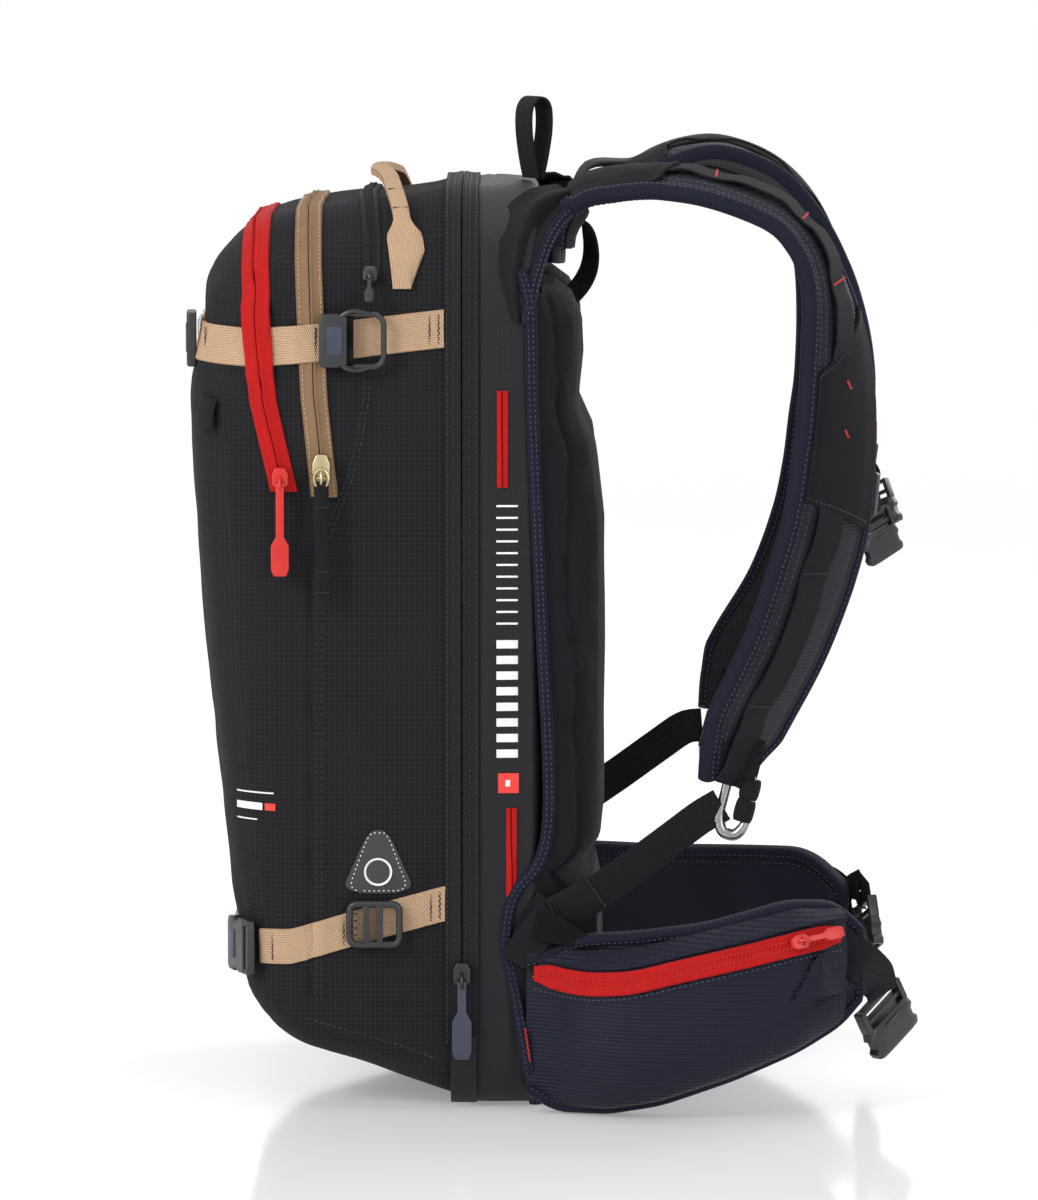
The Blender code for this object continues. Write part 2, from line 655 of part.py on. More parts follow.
def strap_normal(points, across, i):
    along = tangents(points)[i]
    n = along.cross(across[i]).normalized()
    return n if n.y + n.z > 0 else -n


def shoulder_strap(side, name):
    points, across = strap_line(side)
    rings = []
    count = len(points)
    for i, point in enumerate(points):
        w = across[i]
        n = strap_normal(points, across, i)
        taper = min(1.0, 0.55 + 0.14 * (count - 1 - i))
        half_w, half_t = STRAP_WIDTH / 2 * taper, STRAP_THICKNESS / 2
        ring = [point + w * half_w * a + n * half_t * b for a, b in (
            (-1, 0), (-0.93, 0.8), (-0.5, 1), (0.5, 1), (0.93, 0.8),
            (1, 0), (0.93, -0.8), (0.5, -1), (-0.5, -1), (-0.93, -0.8))]
        rings.append(ring)
    loft(name, rings, "navy_cloth")


def lower_webbing(side, name):
    """The adjusting strap from the pack's lower corner up to the metal hook."""
    raised = 0.020 if side < 0 else 0.0
    knots = [(side * 0.1370, 0.0190, 0.1080 + raised), (side * 0.1375, 0.0400, 0.1195 + raised),
             (side * 0.1385, 0.0620, 0.1340 + raised), (side * 0.1365, 0.0880, 0.1530 + raised),
             (side * 0.1345, 0.1050 - raised * 0.1, 0.1655 + raised * 0.9)]
    points = smooth_path(knots, 3)
    across = [Vector((side * 0.15, -0.35, 0.92)) for _ in points]
    strap(name, points, across, 0.0200, 0.0018, "black_webbing")


def strap_hook(side, name):
    """The metal hook at the end of a shoulder strap. It swings on the strap's last fold."""
    raised = LEFT_LIFT + 0.002 if side < 0 else 0.0
    centre = Vector((side * 0.1340, 0.1262 - raised * 0.3, 0.1740 + raised))
    down = Vector((0.0, -0.25, -0.97)).normalized()
    across = Vector((side * 0.20, 0.97, -0.25))
    across = (across - down * across.dot(down)).normalized()
    add_body(name, centre - down * 0.0175)
    points = [centre + down * a + across * b for a, b in rounded_rectangle(0.0180, 0.0110, 0.0095, 3)]
    tube(name, points, 0.0022, "polished_steel", name, steps=6, closed=True)


STERNUM_HEIGHT = 0.345


def sternum_set(side, name):
    """A slider on the strap's front edge and the buckle half that hangs from it."""
    points, across = strap_line(side)
    front = [i for i, p in enumerate(points) if p.y > 0.15 and p.z < 0.45]
    i = min(front, key=lambda k: abs(points[k].z - STERNUM_HEIGHT))
    along = tangents(points)[i]
    forward = across[i] if across[i].y > 0 else -across[i]
    n = strap_normal(points, across, i)
    rim = points[i] + forward * (STRAP_WIDTH / 2 + 0.0016)
    add_body(f"{name}_slider", rim)
    u, v = (along, n) if along.cross(n).dot(forward) > 0 else (n, along)
    outer, hole = rounded_rectangle(0.0125, 0.0080, 0.002, 2), rounded_rectangle(0.0085, 0.0035, 0.001, 2)
    if u is not along:
        outer, hole = [(b, a) for a, b in outer][::-1], [(b, a) for a, b in hole][::-1]
    frame_plate(f"{name}_slider", outer, hole, rim, u, v, 0.0040, "black_plastic", f"{name}_slider")
    pivot = rim + forward * 0.0095 + Vector((0, 0, -0.0125))
    add_body(f"{name}_buckle", pivot, f"{name}_slider")
    wide = Vector((-side * 0.60, 0.80, 0)).normalized()
    fall = Vector((0, 0.10, -0.99))
    fall = (fall - wide * fall.dot(wide)).normalized()
    face = fall.cross(wide).normalized()
    base = pivot + fall * 0.0165 - face * 0.0035
    outer = rounded_rectangle(0.0140, 0.0110, 0.003, 2)
    hole = rounded_rectangle(0.0030, 0.0075, 0.001, 2, centre=(-0.0090, 0.0))
    frame_plate(f"{name}_buckle", outer, hole, base, fall, wide, 0.0070, "black_plastic", f"{name}_buckle")


def trigger():
    """The pull handle on the wearer's left strap and the cable that runs from it to the inflator."""
    points, across = strap_line(-1)
    first, stop = 5, 10 * STRAP_STEPS
    lift = STRAP_THICKNESS / 2 + 0.0048
    run = [points[i] + strap_normal(points, across, i) * lift for i in range(first, stop + 1)]
    cx, cy = CANISTER_AXIS
    inside = [(cx - 0.0300, cy, 0.306), (cx - 0.0330, cy - 0.004, 0.345), (cx - 0.0260, cy, 0.385),
              (cx - 0.008, -0.018, 0.430), (CABLE_PORT_X, -0.008, 0.4680), (CABLE_PORT_X, 0.014, CABLE_PORT_Z),
              (CABLE_PORT_X - 0.001, 0.0280, 0.4850), (CABLE_PORT_X - 0.003, 0.0350, 0.5120),
              (CABLE_PORT_X - 0.006, 0.0440, 0.5360), (CABLE_PORT_X - 0.020, 0.0600, 0.5430)]
    path = smooth_path(inside, 3) + run[3:]
    tube("trigger_cable", path, 0.0028, "black_rubber")

    i = stop
    along = tangents(points)[i]
    n = strap_normal(points, across, i)
    grip = points[i] + n * (lift + 0.002) + along * 0.0035
    add_body("trigger_handle", grip)
    u, v = along, n.cross(along).normalized()
    shape = [(0.0, -0.006), (0.020, -0.007), (0.026, -0.019), (0.040, -0.019), (0.044, -0.015), (0.044, 0.015),
             (0.040, 0.019), (0.026, 0.019), (0.020, 0.007), (0.0, 0.006)]
    outline_plate("trigger_handle", shape, grip - n * 0.0055, u, v, 0.0110, "red_plastic", "trigger_handle")


def loops():
    """The standing carry loop and the handle at the top of the back panel."""
    across = Vector((0.86, 0.51, 0)).normalized()
    span = Vector((-0.51, 0.86, 0)).normalized()
    foot = Vector((0.0, 0.0120, HEIGHT + 0.0018))
    shape = [(-0.0012, 0.0), (-0.0040, 0.013), (-0.0060, 0.029), (-0.0050, 0.041), (0.0005, 0.0462),
             (0.0065, 0.042), (0.0075, 0.029), (0.0050, 0.013), (0.0018, 0.0)]
    points = smooth_path([foot + span * a + Vector((0, 0, b)) for a, b in shape], 2)
    strap("carry_loop", points, [across] * len(points), 0.0180, 0.0014, "black_webbing")
    knots = [(0.0, 0.0185, 0.4980), (0.0, 0.0300, 0.5000), (0.0, 0.0415, 0.4930), (0.0, 0.0455, 0.4780),
             (0.0, 0.0430, 0.4630), (0.0, 0.0330, 0.4500), (0.0, 0.0185, 0.4420)]
    points = smooth_path(knots, 2)
    strap("back_handle", points, [Vector((1, 0, 0))] * len(points), 0.0160, 0.0016, "black_webbing")


# ---------------------------------------------------------------- hip belt
WING_HINGE = (0.1385, 0.0085)
WING_LINE = ((0.1385, 0.0085), (0.1400, 0.0300), (0.1460, 0.0560), (0.1500, 0.0850), (0.1520, 0.1150),
             (0.1500, 0.1450), (0.1450, 0.1720), (0.1380, 0.1930))
LEFT_WING_LINE = (*WING_LINE[:-1], (0.1370, 0.1980))
# Half thickness, top and base of a wing by distance along +Y from its hinge.
WING_HALF = ((0.0, 0.0022), (0.020, 0.0045), (0.050, 0.0070))
WING_TOP = {
    1: ((0.0, 0.088), (0.015, 0.094), (0.0325, 0.101), (0.060, 0.103), (0.100, 0.1085), (0.147, 0.121),
        (0.172, 0.120), (0.187, 0.104)),
    -1: ((0.0, 0.088), (0.015, 0.100), (0.035, 0.1135), (0.085, 0.110), (0.165, 0.1095), (0.180, 0.101),
         (0.190, 0.088)),
}
WING_BASE = ((0.0, 0.012), (0.010, 0.004), (0.020, 0.0), (0.045, 0.0), (0.075, 0.0055), (0.115, 0.020),
             (0.150, 0.035), (0.175, 0.050), (0.187, 0.066))


def wing_line(side):
    """(point, distance from the hinge, along, outward) down the middle of a hip wing, seen from above."""
    line = WING_LINE if side > 0 else LEFT_WING_LINE
    points = smooth_path([(side * x, y, 0) for x, y in line], 3)
    frames = []
    for point, along in zip(points, tangents(points)):
        outward = Vector((along.y, -along.x, 0)) * side
        frames.append((point, point.y - WING_HINGE[1], along, outward))
    return frames


def upright(point, outward, half_t, low, high):
    """A wing's section: a tall rounded slab."""
    r = min(half_t * 0.7, 0.004)
    return [point + outward * a + Vector((0, 0, b)) for a, b in (
        (-half_t, low + r), (-half_t + r, low), (half_t - r, low), (half_t, low + r),
        (half_t, high - r), (half_t - r, high), (-half_t + r, high), (-half_t, high - r))]


def hip_wing(side, name):
    rings = []
    for point, distance, _, outward in wing_line(side):
        half = between(distance, WING_HALF)
        rings.append(upright(point, outward, half, between(distance, WING_BASE),
                             between(distance, WING_TOP[side])))
    loft(name, rings, "navy_cloth", name)


# The pocket outside the right wing: how far it stands out, and the height of its zip, by distance.
POCKET_END = 0.176
POCKET_DEPTH = ((0.0, 0.0020), (0.012, 0.0045), (0.030, 0.0140), (0.060, 0.0245), (0.105, 0.0260),
                (0.150, 0.0205), (0.168, 0.0095), (0.178, 0.0040))
HIP_ZIP_HEIGHT = ((0.0, 0.0805), (0.018, 0.0775), (0.040, 0.0765), (0.062, 0.0790), (0.107, 0.0915),
                  (0.150, 0.1020), (0.170, 0.1040))
HIP_ZIP_HALF = 0.0058


def pocket_sections():
    """(root, depth, zip height, low, top, outward) of the pocket at each frame of the wing."""
    sections = []
    for point, distance, _, outward in wing_line(1):
        if distance > POCKET_END:
            break
        face = point + outward * (between(distance, WING_HALF) + GAP)
        zip_z = between(distance, HIP_ZIP_HEIGHT)
        top = min(between(distance, WING_TOP[1]) - 0.003, zip_z + 0.016)
        sections.append((face, between(distance, POCKET_DEPTH), zip_z, between(distance, WING_BASE) + 0.003,
                         top, outward))
    return sections


def hip_pocket():
    rings = []
    for face, depth, zip_z, low, top, outward in pocket_sections():
        belly = zip_z - 0.0075
        rings.append([face + outward * a + Vector((0, 0, b)) for a, b in (
            (0, low), (depth * 0.55, low + 0.002), (depth * 0.94, low + (belly - low) * 0.30), (depth, belly),
            (depth * 0.80, zip_z + 0.0065), (depth * 0.40, top - 0.002), (0, top))])
    loft("hip_pocket", rings, "navy_ripstop", "hip_wing_right")


def hip_zip():
    """The pocket's red zip along the bevel of its top, with the slider and pull at the front end."""
    rings, seats = [], []
    for face, depth, zip_z, _, _, outward in pocket_sections()[1:-1]:
        a = face + outward * depth + Vector((0, 0, zip_z - 0.0075))
        b = face + outward * depth * 0.80 + Vector((0, 0, zip_z + 0.0065))
        slope = (b - a).normalized()
        normal = (outward * slope.z - Vector((0, 0, 1)) * slope.dot(outward)).normalized()
        base = (a + b) / 2 + normal * 0.0010
        rings.append([base - slope * HIP_ZIP_HALF, base + slope * HIP_ZIP_HALF,
                      base + slope * HIP_ZIP_HALF + normal * TAPE, base - slope * HIP_ZIP_HALF + normal * TAPE])
        seats.append((base + normal * (TAPE + GAP), normal))
    loft("hip_zip_tape", rings, "red_tape", "hip_wing_right")
    seat, normal = seats[-3]
    ahead = (seats[-2][0] - seats[-4][0]).normalized()
    slider_and_pull("hip_zip", seat + normal * 0.0010, normal, ahead, "hip_wing_right",
                    (0.010, 0.008, 0.0045), (0.0232, 0.0070, 0.011, 0.0022), "red_plastic", "red_plastic")


def hip_buckle(side, name, wing):
    """A buckle half beyond the wing's tip. It hangs from its webbing bar and turns on it."""
    if side > 0:
        bar, wide, size = Vector((0.1220, 0.2090, 0.0615)), Vector((-0.70, 0.70, 0)), (0.0200, 0.0200)
    else:
        bar, wide, size = Vector((-0.1280, 0.2110, 0.0780)), Vector((0.95, 0.30, 0)), (0.0160, 0.0175)
    add_body(name, bar, wing)
    wide = wide.normalized()
    fall = Vector((0.0, 0.0, -1.0))
    face = fall.cross(wide).normalized()
    outer = rounded_rectangle(*size, 0.005, 2)
    hole = rounded_rectangle(0.0030, size[1] - 0.005, 0.001, 2, centre=(0.0070 - size[0], 0.0))
    base = bar + fall * (size[0] - 0.0030) - face * 0.005
    frame_plate(name, outer, hole, base, fall, wide, 0.0100, "black_plastic", name)


# ---------------------------------------------------------------- the whole pack
def make_materials():
    for name, colour, roughness, metallic in (
        ("black_ripstop", BLACK, 0.85, 0.0), ("coated_black", BLACK, 0.55, 0.0),
        ("red_tape", RED, 0.75, 0.0), ("tan_webbing", TAN, 0.85, 0.0), ("black_webbing", BLACK, 0.8, 0.0),
        ("black_plastic", BLACK, 0.4, 0.0), ("red_plastic", RED, 0.4, 0.0), ("navy_plastic", NAVY, 0.4, 0.0),
        ("brass_metal", (0.35, 0.28, 0.14), 0.35, 1.0), ("black_metal", (0.03, 0.03, 0.03), 0.3, 1.0),
        ("airbag_cloth", (0.55, 0.09, 0.05), 0.7, 0.0),
        ("polished_steel", STEEL, 0.15, 1.0), ("anodised_aluminium", (0.25, 0.26, 0.28), 0.35, 1.0),
        ("aluminium", STEEL, 0.4, 1.0), ("black_rubber", BLACK, 0.6, 0.0),
        ("frame_plastic", (0.05, 0.05, 0.05), 0.6, 0.0), ("back_mesh", BLACK, 0.9, 0.0),
        ("navy_cloth", NAVY, 0.85, 0.0), ("navy_ripstop", NAVY, 0.7, 0.0),
    ):
        MATERIALS[name] = make_material(name, colour, roughness, metallic)


def perimeter_zip():
    """The two tapes of the clamshell's zip, either side of its plane."""
    start = perimeter_index(0.034)
    end = len(perimeter()) - start
    for name, y0, y1, body in (
        ("main_zip_tape_front", ZIP_Y - 0.0095, ZIP_Y - 0.0003, "front_shell"),
        ("main_zip_tape_back", ZIP_Y + 0.0003, ZIP_Y + 0.0095, None),
    ):
        band_solid(name, start, end, -0.0008, -0.0008 - TAPE, y0, y1, "black_webbing", body)


def build_pack():
    clear_scene()
    make_materials()
    add_body("front_shell", (0.0, ZIP_Y, 0.002))
    shell = front_shell()
    tree = surface_of(shell)
    pocket_zips(tree)
    compression_straps(tree)
    strap_buckles(tree)
    grab_handle(tree)
    zip_sliders(tree)
    back_shell()
    perimeter_zip()
    airbag_system()
    back_frame()
    back_padding()
    tool_sleeve()
    for side, word in ((1, "right"), (-1, "left")):
        shoulder_strap(side, f"shoulder_strap_{word}")
        lower_webbing(side, f"lower_webbing_{word}")
        strap_hook(side, f"strap_hook_{word}")
        sternum_set(side, f"sternum_{word}")
        wing = f"hip_wing_{word}"
        add_body(wing, (side * WING_HINGE[0], WING_HINGE[1], 0.05))
        hip_wing(side, wing)
        hip_buckle(side, f"hip_buckle_{word}", wing)
    hip_pocket()
    hip_zip()
    trigger()
    loops()


build_pack()
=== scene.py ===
"""Looks of the avalanche airbag backpack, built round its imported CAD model.

Everything is in metres in the row frame: +Z up, +Y towards the wearer, +X to the wearer's right.
"""

import json
from math import atan2, cos, exp, hypot, pi, radians, sin, sqrt

import bmesh
import bpy
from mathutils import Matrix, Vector, noise
from mathutils.bvhtree import BVHTree


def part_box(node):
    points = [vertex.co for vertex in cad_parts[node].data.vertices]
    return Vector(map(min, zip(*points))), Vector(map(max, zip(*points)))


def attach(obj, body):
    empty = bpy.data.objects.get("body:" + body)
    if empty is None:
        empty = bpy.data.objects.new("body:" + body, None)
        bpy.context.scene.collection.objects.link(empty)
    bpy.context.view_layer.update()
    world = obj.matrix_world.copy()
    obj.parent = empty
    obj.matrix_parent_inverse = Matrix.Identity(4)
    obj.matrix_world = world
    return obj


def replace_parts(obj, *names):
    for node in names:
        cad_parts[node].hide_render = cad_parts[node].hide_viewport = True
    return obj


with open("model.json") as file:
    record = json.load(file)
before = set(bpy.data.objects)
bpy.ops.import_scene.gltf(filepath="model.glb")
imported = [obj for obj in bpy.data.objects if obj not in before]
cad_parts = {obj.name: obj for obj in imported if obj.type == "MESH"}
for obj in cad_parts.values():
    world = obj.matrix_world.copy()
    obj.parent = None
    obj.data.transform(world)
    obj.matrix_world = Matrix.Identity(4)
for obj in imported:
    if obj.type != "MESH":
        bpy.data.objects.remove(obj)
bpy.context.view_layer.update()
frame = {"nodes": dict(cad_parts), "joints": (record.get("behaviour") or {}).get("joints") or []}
NODES = frame["nodes"]
BACK, FRONT = "back_panel", "front_panel"

# ---------------------------------------------------------------- dimensions shared with the CAD model
HALF_WIDTH = 0.135
HEIGHT = 0.517
ZIP_Y = -0.028
RIM_GAP = 0.0025
FRONT_DEPTH = 0.150
FULLEST_HEIGHT = 0.400
BACK_WALL_Y = 0.016
SHELL_WALL = 0.004
TOP_RADIUS = 0.068
BASE_RADIUS = 0.030
FRONT_EDGE_RADIUS = 0.046
FRONT_CROWN = 0.004
BACK_EDGE_RADIUS = 0.007
SIDE_BULGE = 0.005
CROWN_RADIUS = 0.125         # of the path that the zips take over the top
CROWN_CENTRE_Z = HEIGHT - 0.11
SHELL_MIDDLE_Y = -0.095      # the straps run round this line
CLOTH_STEP = 0.0035          # size of the cloth's faces
STRAP_WIDTH = 0.062

UP = Vector((0, 0, 1))
RIGHT = Vector((1, 0, 0))
AHEAD = Vector((0, 1, 0))
SIDES = ((1, "right"), (-1, "left"))


# ---------------------------------------------------------------- small maths
def between(value, knots):
    """Straight-line value between (input, output) knots in rising order of input."""
    if value <= knots[0][0]:
        return knots[0][1]
    for (a, fa), (b, fb) in zip(knots, knots[1:]):
        if value <= b:
            return fa + (fb - fa) * (value - a) / (b - a)
    return knots[-1][1]


def smooth(value, low, high):
    """0 below low and 1 above high, with an eased step between."""
    t = max(0.0, min(1.0, (value - low) / (high - low)))
    return t * t * (3 - 2 * t)


def bell(value, width):
    """1 at no value, falling to 0 over about width on either side."""
    return exp(-(value / width) ** 2)


def fold(point, size, seed=0.0):
    """Smooth noise from -1 to 1 with features of about size metres. Each seed gives other ones."""
    return noise.noise(Vector(point) / size + Vector((seed, seed * 0.7, -seed)))


def smooth_path(knots, steps):
    """Points along a Catmull-Rom curve through the knots, steps to each stretch."""
    knots = [Vector(k) for k in knots]
    padded = [2 * knots[0] - knots[1], *knots, 2 * knots[-1] - knots[-2]]
    points = []
    for i in range(1, len(padded) - 2):
        a, b, c, d = padded[i - 1 : i + 3]
        for s in range(steps):
            t = s / steps
            points.append(
                0.5 * (2 * b + (c - a) * t + (2 * a - 5 * b + 4 * c - d) * t**2
                       + (3 * b - a - 3 * c + d) * t**3)
            )
    points.append(knots[-1])
    return points


def tangents(points):
    """The way on at each point."""
    last = len(points) - 1
    return [(points[min(i + 1, last)] - points[max(i - 1, 0)]).normalized() for i in range(last + 1)]


def lengths(points):
    """Distance along the points from the first to each."""
    total, found = 0.0, [0.0]
    for a, b in zip(points, points[1:]):
        total += (b - a).length
        found.append(total)
    return found


def places(points, distances):
    """(index, share of the stretch after it) of each distance along the points, in rising order."""
    reach = lengths(points)
    found, k = [], 0
    for distance in distances:
        while k < len(points) - 2 and reach[k + 1] < distance:
            k += 1
        found.append((k, (distance - reach[k]) / max(reach[k + 1] - reach[k], 1e-9)))
    return found


def even_distances(points, step):
    """Distances from one end to the other, about step apart."""
    total = lengths(points)[-1]
    count = max(1, round(total / step))
    return [total * i / count for i in range(count + 1)]


def shares(count):
    """From 0 to 1 in count equal steps."""
    return [i / count for i in range(count + 1)]


def resampled(points, step):
    """The same line with points every step metres."""
    return [points[k].lerp(points[k + 1], share) for k, share in places(points, even_distances(points, step))]


def rounded_loop(count, power):
    """(u, v) round a square with rounded corners and a half width of 1; a higher power is squarer."""
    found = []
    for s in range(count):
        a = 2 * pi * s / count
        scale = (abs(cos(a)) ** power + abs(sin(a)) ** power) ** (-1 / power)
        found.append((cos(a) * scale, sin(a) * scale))
    return found


def mirrored(p, side):
    """A point given for the right side, on either side."""
    return Vector((side * p[0], p[1], p[2]))


# ---------------------------------------------------------------- material nodes
class Graph:
    """Shorthand for one material's node tree. Numbers and sockets can be mixed as inputs."""

    def __init__(self, name):
        self.material = bpy.data.materials.new(name)
        self.material.use_nodes = True
        self.tree = self.material.node_tree
        self.shader = self.tree.nodes["Principled BSDF"]

    def node(self, kind, **settings):
        made = self.tree.nodes.new("ShaderNode" + kind)
        for key, value in settings.items():
            setattr(made, key, value)
        return made

    def feed(self, socket, value):
        if isinstance(value, bpy.types.NodeSocket):
            self.tree.links.new(value, socket)
        else:
            socket.default_value = value

    def math(self, operation, a, b=0.0):
        made = self.node("Math", operation=operation)
        for socket, value in zip(made.inputs, (a, b)):
            self.feed(socket, value)
        return made.outputs[0]

    def split(self, vector):
        made = self.node("SeparateXYZ")
        self.feed(made.inputs[0], vector)
        return made.outputs

    def place(self):
        return self.node("TexCoord").outputs["Object"]

    def facing(self):
        return self.split(self.node("TexCoord").outputs["Normal"])

    def strip(self):
        """(along, across, 0) of a strip, in metres."""
        return self.split(self.node("Attribute", attribute_name="strip").outputs["Vector"])

    def grain(self, size, detail):
        made = self.node("TexNoise")
        self.feed(made.inputs["Vector"], self.place())
        made.inputs["Scale"].default_value = 1.0 / size
        made.inputs["Detail"].default_value = detail
        return made.outputs[0]

    def mixed(self, share, a, b):
        made = self.node("Mix", data_type="RGBA")
        self.feed(made.inputs[0], share)
        self.feed(made.inputs[6], (*a, 1.0) if isinstance(a, tuple) else a)
        self.feed(made.inputs[7], (*b, 1.0) if isinstance(b, tuple) else b)
        return made.outputs[2]

    def bump(self, height, distance, under=None):
        made = self.node("Bump")
        made.inputs["Strength"].default_value = 1.0
        made.inputs["Distance"].default_value = distance
        self.feed(made.inputs["Height"], height)
        if under:
            self.feed(made.inputs["Normal"], under)
        return made.outputs[0]

    def finish(self, colour, roughness, metallic=0.0, normal=None, **constants):
        self.feed(self.shader.inputs["Base Color"], colour if isinstance(colour, bpy.types.NodeSocket)
                  else (*colour, 1.0))
        self.feed(self.shader.inputs["Roughness"], roughness)
        self.shader.inputs["Metallic"].default_value = metallic
        if normal:
            self.feed(self.shader.inputs["Normal"], normal)
        for name, value in constants.items():
            self.shader.inputs[name.replace("_", " ")].default_value = value
        return self.material


def shade(colour, factor):
    """A lighter or darker tone of a colour."""
    return tuple(min(1.0, c * factor) for c in colour)


FAR = 10.0                  # added to a place so that a wave doesn't turn back at zero
STRIP_FAR = 1.0             # the same for places along and across a strip


def grid_lines(g, pitch, width):
    """1 on the lines of a square grid on any face, from the place and the way the face looks."""
    place, facing = g.split(g.place()), g.facing()
    lines = None
    for axis in range(3):
        wave = g.math("PINGPONG", g.math("ADD", place[axis], FAR), pitch / 2)
        line = g.math("LESS_THAN", wave, width / 2)
        seen = g.math("SUBTRACT", 1.0, g.math("POWER", g.math("ABSOLUTE", facing[axis]), 2.0))
        line = g.math("MULTIPLY", line, g.math("GREATER_THAN", seen, 0.4))
        lines = line if lines is None else g.math("MAXIMUM", lines, line)
    return lines


def ripstop(name, colour, roughness, pitch=0.0028, contrast=2.0):
    """Plain cloth with a grid of thicker yarns. contrast is how much lighter they are, a painted highlight on
    the raised yarns.
    """
    g = Graph(name)
    lines = grid_lines(g, pitch, pitch * 0.22)
    cloth = g.grain(0.0007, 2.0)
    tone = g.grain(0.060, 3.0)
    base = g.mixed(tone, shade(colour, 0.8), shade(colour, 1.25))
    # painted highlight: the grid yarns, raised by the bump below, are lightened towards contrast times the
    # colour
    base = g.mixed(g.math("MULTIPLY", lines, 0.7), base, shade(colour, contrast))
    height = g.math("ADD", g.math("MULTIPLY", lines, 0.9), cloth)
    return g.finish(base, roughness, normal=g.bump(height, 0.00030), Sheen_Weight=0.03, Sheen_Roughness=0.4,
                    Specular_IOR_Level=0.1)


def twill(name, colour, roughness):
    """Diagonal ribs that follow a strip's own length, with a painted highlight along each rib's crest."""
    g = Graph(name)
    half_pitch = 0.0013
    along, side, _ = g.strip()
    run = g.math("ADD", along, g.math("MULTIPLY", side, 1.2))
    wave = g.math("PINGPONG", g.math("ADD", run, FAR), half_pitch)
    wave = g.math("DIVIDE", wave, half_pitch)
    tone = g.grain(0.050, 3.0)
    base = g.mixed(tone, shade(colour, 0.8), shade(colour, 1.2))
    # painted highlight: each rib is lighter towards its crest, where the bump below raises it
    base = g.mixed(g.math("MULTIPLY", wave, 0.5), base, shade(colour, 1.5))
    height = g.math("ADD", wave, g.math("MULTIPLY", g.grain(0.0006, 2.0), 0.7))
    return g.finish(base, roughness, normal=g.bump(height, 0.0003), Sheen_Weight=0.05, Sheen_Roughness=0.35,
                    Specular_IOR_Level=0.1)


def ribbed(name, colour, roughness, pitch=0.0022):
    """Level ribs, as on the pocket's face, with a painted highlight along each rib's crest."""
    g = Graph(name)
    _, y, z = g.split(g.place())
    wave = g.math("DIVIDE", g.math("PINGPONG", g.math("ADD", z, FAR), pitch / 2), pitch / 2)
    dots = g.math("DIVIDE", g.math("PINGPONG", g.math("ADD", y, FAR), 0.0009), 0.0009)
    tone = g.grain(0.040, 3.0)
    base = g.mixed(tone, shade(colour, 0.82), shade(colour, 1.2))
    # painted highlight: each rib is lighter towards its crest, where the bump below raises it
    base = g.mixed(g.math("MULTIPLY", wave, 0.45), base, shade(colour, 1.5))
    height = g.math("ADD", wave, g.math("MULTIPLY", dots, 0.25))
    return g.finish(base, roughness, normal=g.bump(height, 0.0004), Sheen_Weight=0.05, Sheen_Roughness=0.35,
                    Specular_IOR_Level=0.16)


def webbing(name, colour, rib=0.0013, contrast=0.45):
    """Plain woven webbing: ribs along it, with every other yarn half a rib ahead. Painted shade fills the
    hollows between the yarns, and contrast sets its tone.
    """
    g = Graph(name)
    yarn = 0.0014
    along, side, _ = g.strip()
    row = g.math("FLOOR", g.math("DIVIDE", g.math("ADD", side, STRIP_FAR), yarn))
    shift = g.math("MULTIPLY", g.math("MODULO", row, 2.0), rib / 2)
    ribs = g.math("PINGPONG", g.math("ADD", g.math("ADD", along, shift), STRIP_FAR), rib / 2)
    ribs = g.math("DIVIDE", ribs, rib / 2)
    yarns = g.math("DIVIDE", g.math("PINGPONG", g.math("ADD", side, STRIP_FAR), yarn / 2), yarn / 2)
    height = g.math("MULTIPLY", g.math("POWER", ribs, 0.5), g.math("POWER", yarns, 0.35))
    tone = g.grain(0.020, 3.0)
    base = g.mixed(tone, shade(colour, 0.88), shade(colour, 1.12))
    # painted shade: the low places of the weave are shaded towards contrast times the colour
    painted_gap_shade = g.math("SUBTRACT", 1.0, g.math("MINIMUM", g.math("MULTIPLY", height, 1.6), 1.0))
    base = g.mixed(painted_gap_shade, base, shade(colour, contrast))
    return g.finish(base, 0.8, normal=g.bump(height, 0.00045), Sheen_Weight=0.04, Sheen_Roughness=0.4,
                    Specular_IOR_Level=0.1)


def knit_tape(name, colour):
    """Zip tape: fine knit with faint ribs along it."""
    g = Graph(name)
    along, side, _ = g.strip()
    knit = g.math("PINGPONG", g.math("ADD", along, STRIP_FAR), 0.0005)
    rows = g.math("PINGPONG", g.math("ADD", side, STRIP_FAR), 0.0006)
    height = g.math("ADD", g.math("MULTIPLY", knit, 900.0), g.math("MULTIPLY", rows, 700.0))
    tone = g.grain(0.010, 4.0)
    base = g.mixed(tone, shade(colour, 0.86), shade(colour, 1.12))
    return g.finish(base, 0.75, normal=g.bump(height, 0.00016), Sheen_Weight=0.05, Sheen_Roughness=0.4,
                    Specular_IOR_Level=0.1)


def coated(name, colour, roughness=0.42):
    """Smooth coated cloth with faint creases."""
    g = Graph(name)
    crease = g.grain(0.030, 5.0)
    fine = g.grain(0.0011, 2.0)
    tone = g.grain(0.080, 2.0)
    base = g.mixed(tone, shade(colour, 0.85), shade(colour, 1.2))
    rough = g.math("ADD", roughness, g.math("MULTIPLY", fine, 0.12))
    under = g.bump(crease, 0.0016)
    return g.finish(base, rough, normal=g.bump(fine, 0.00008, under), Specular_IOR_Level=0.22)


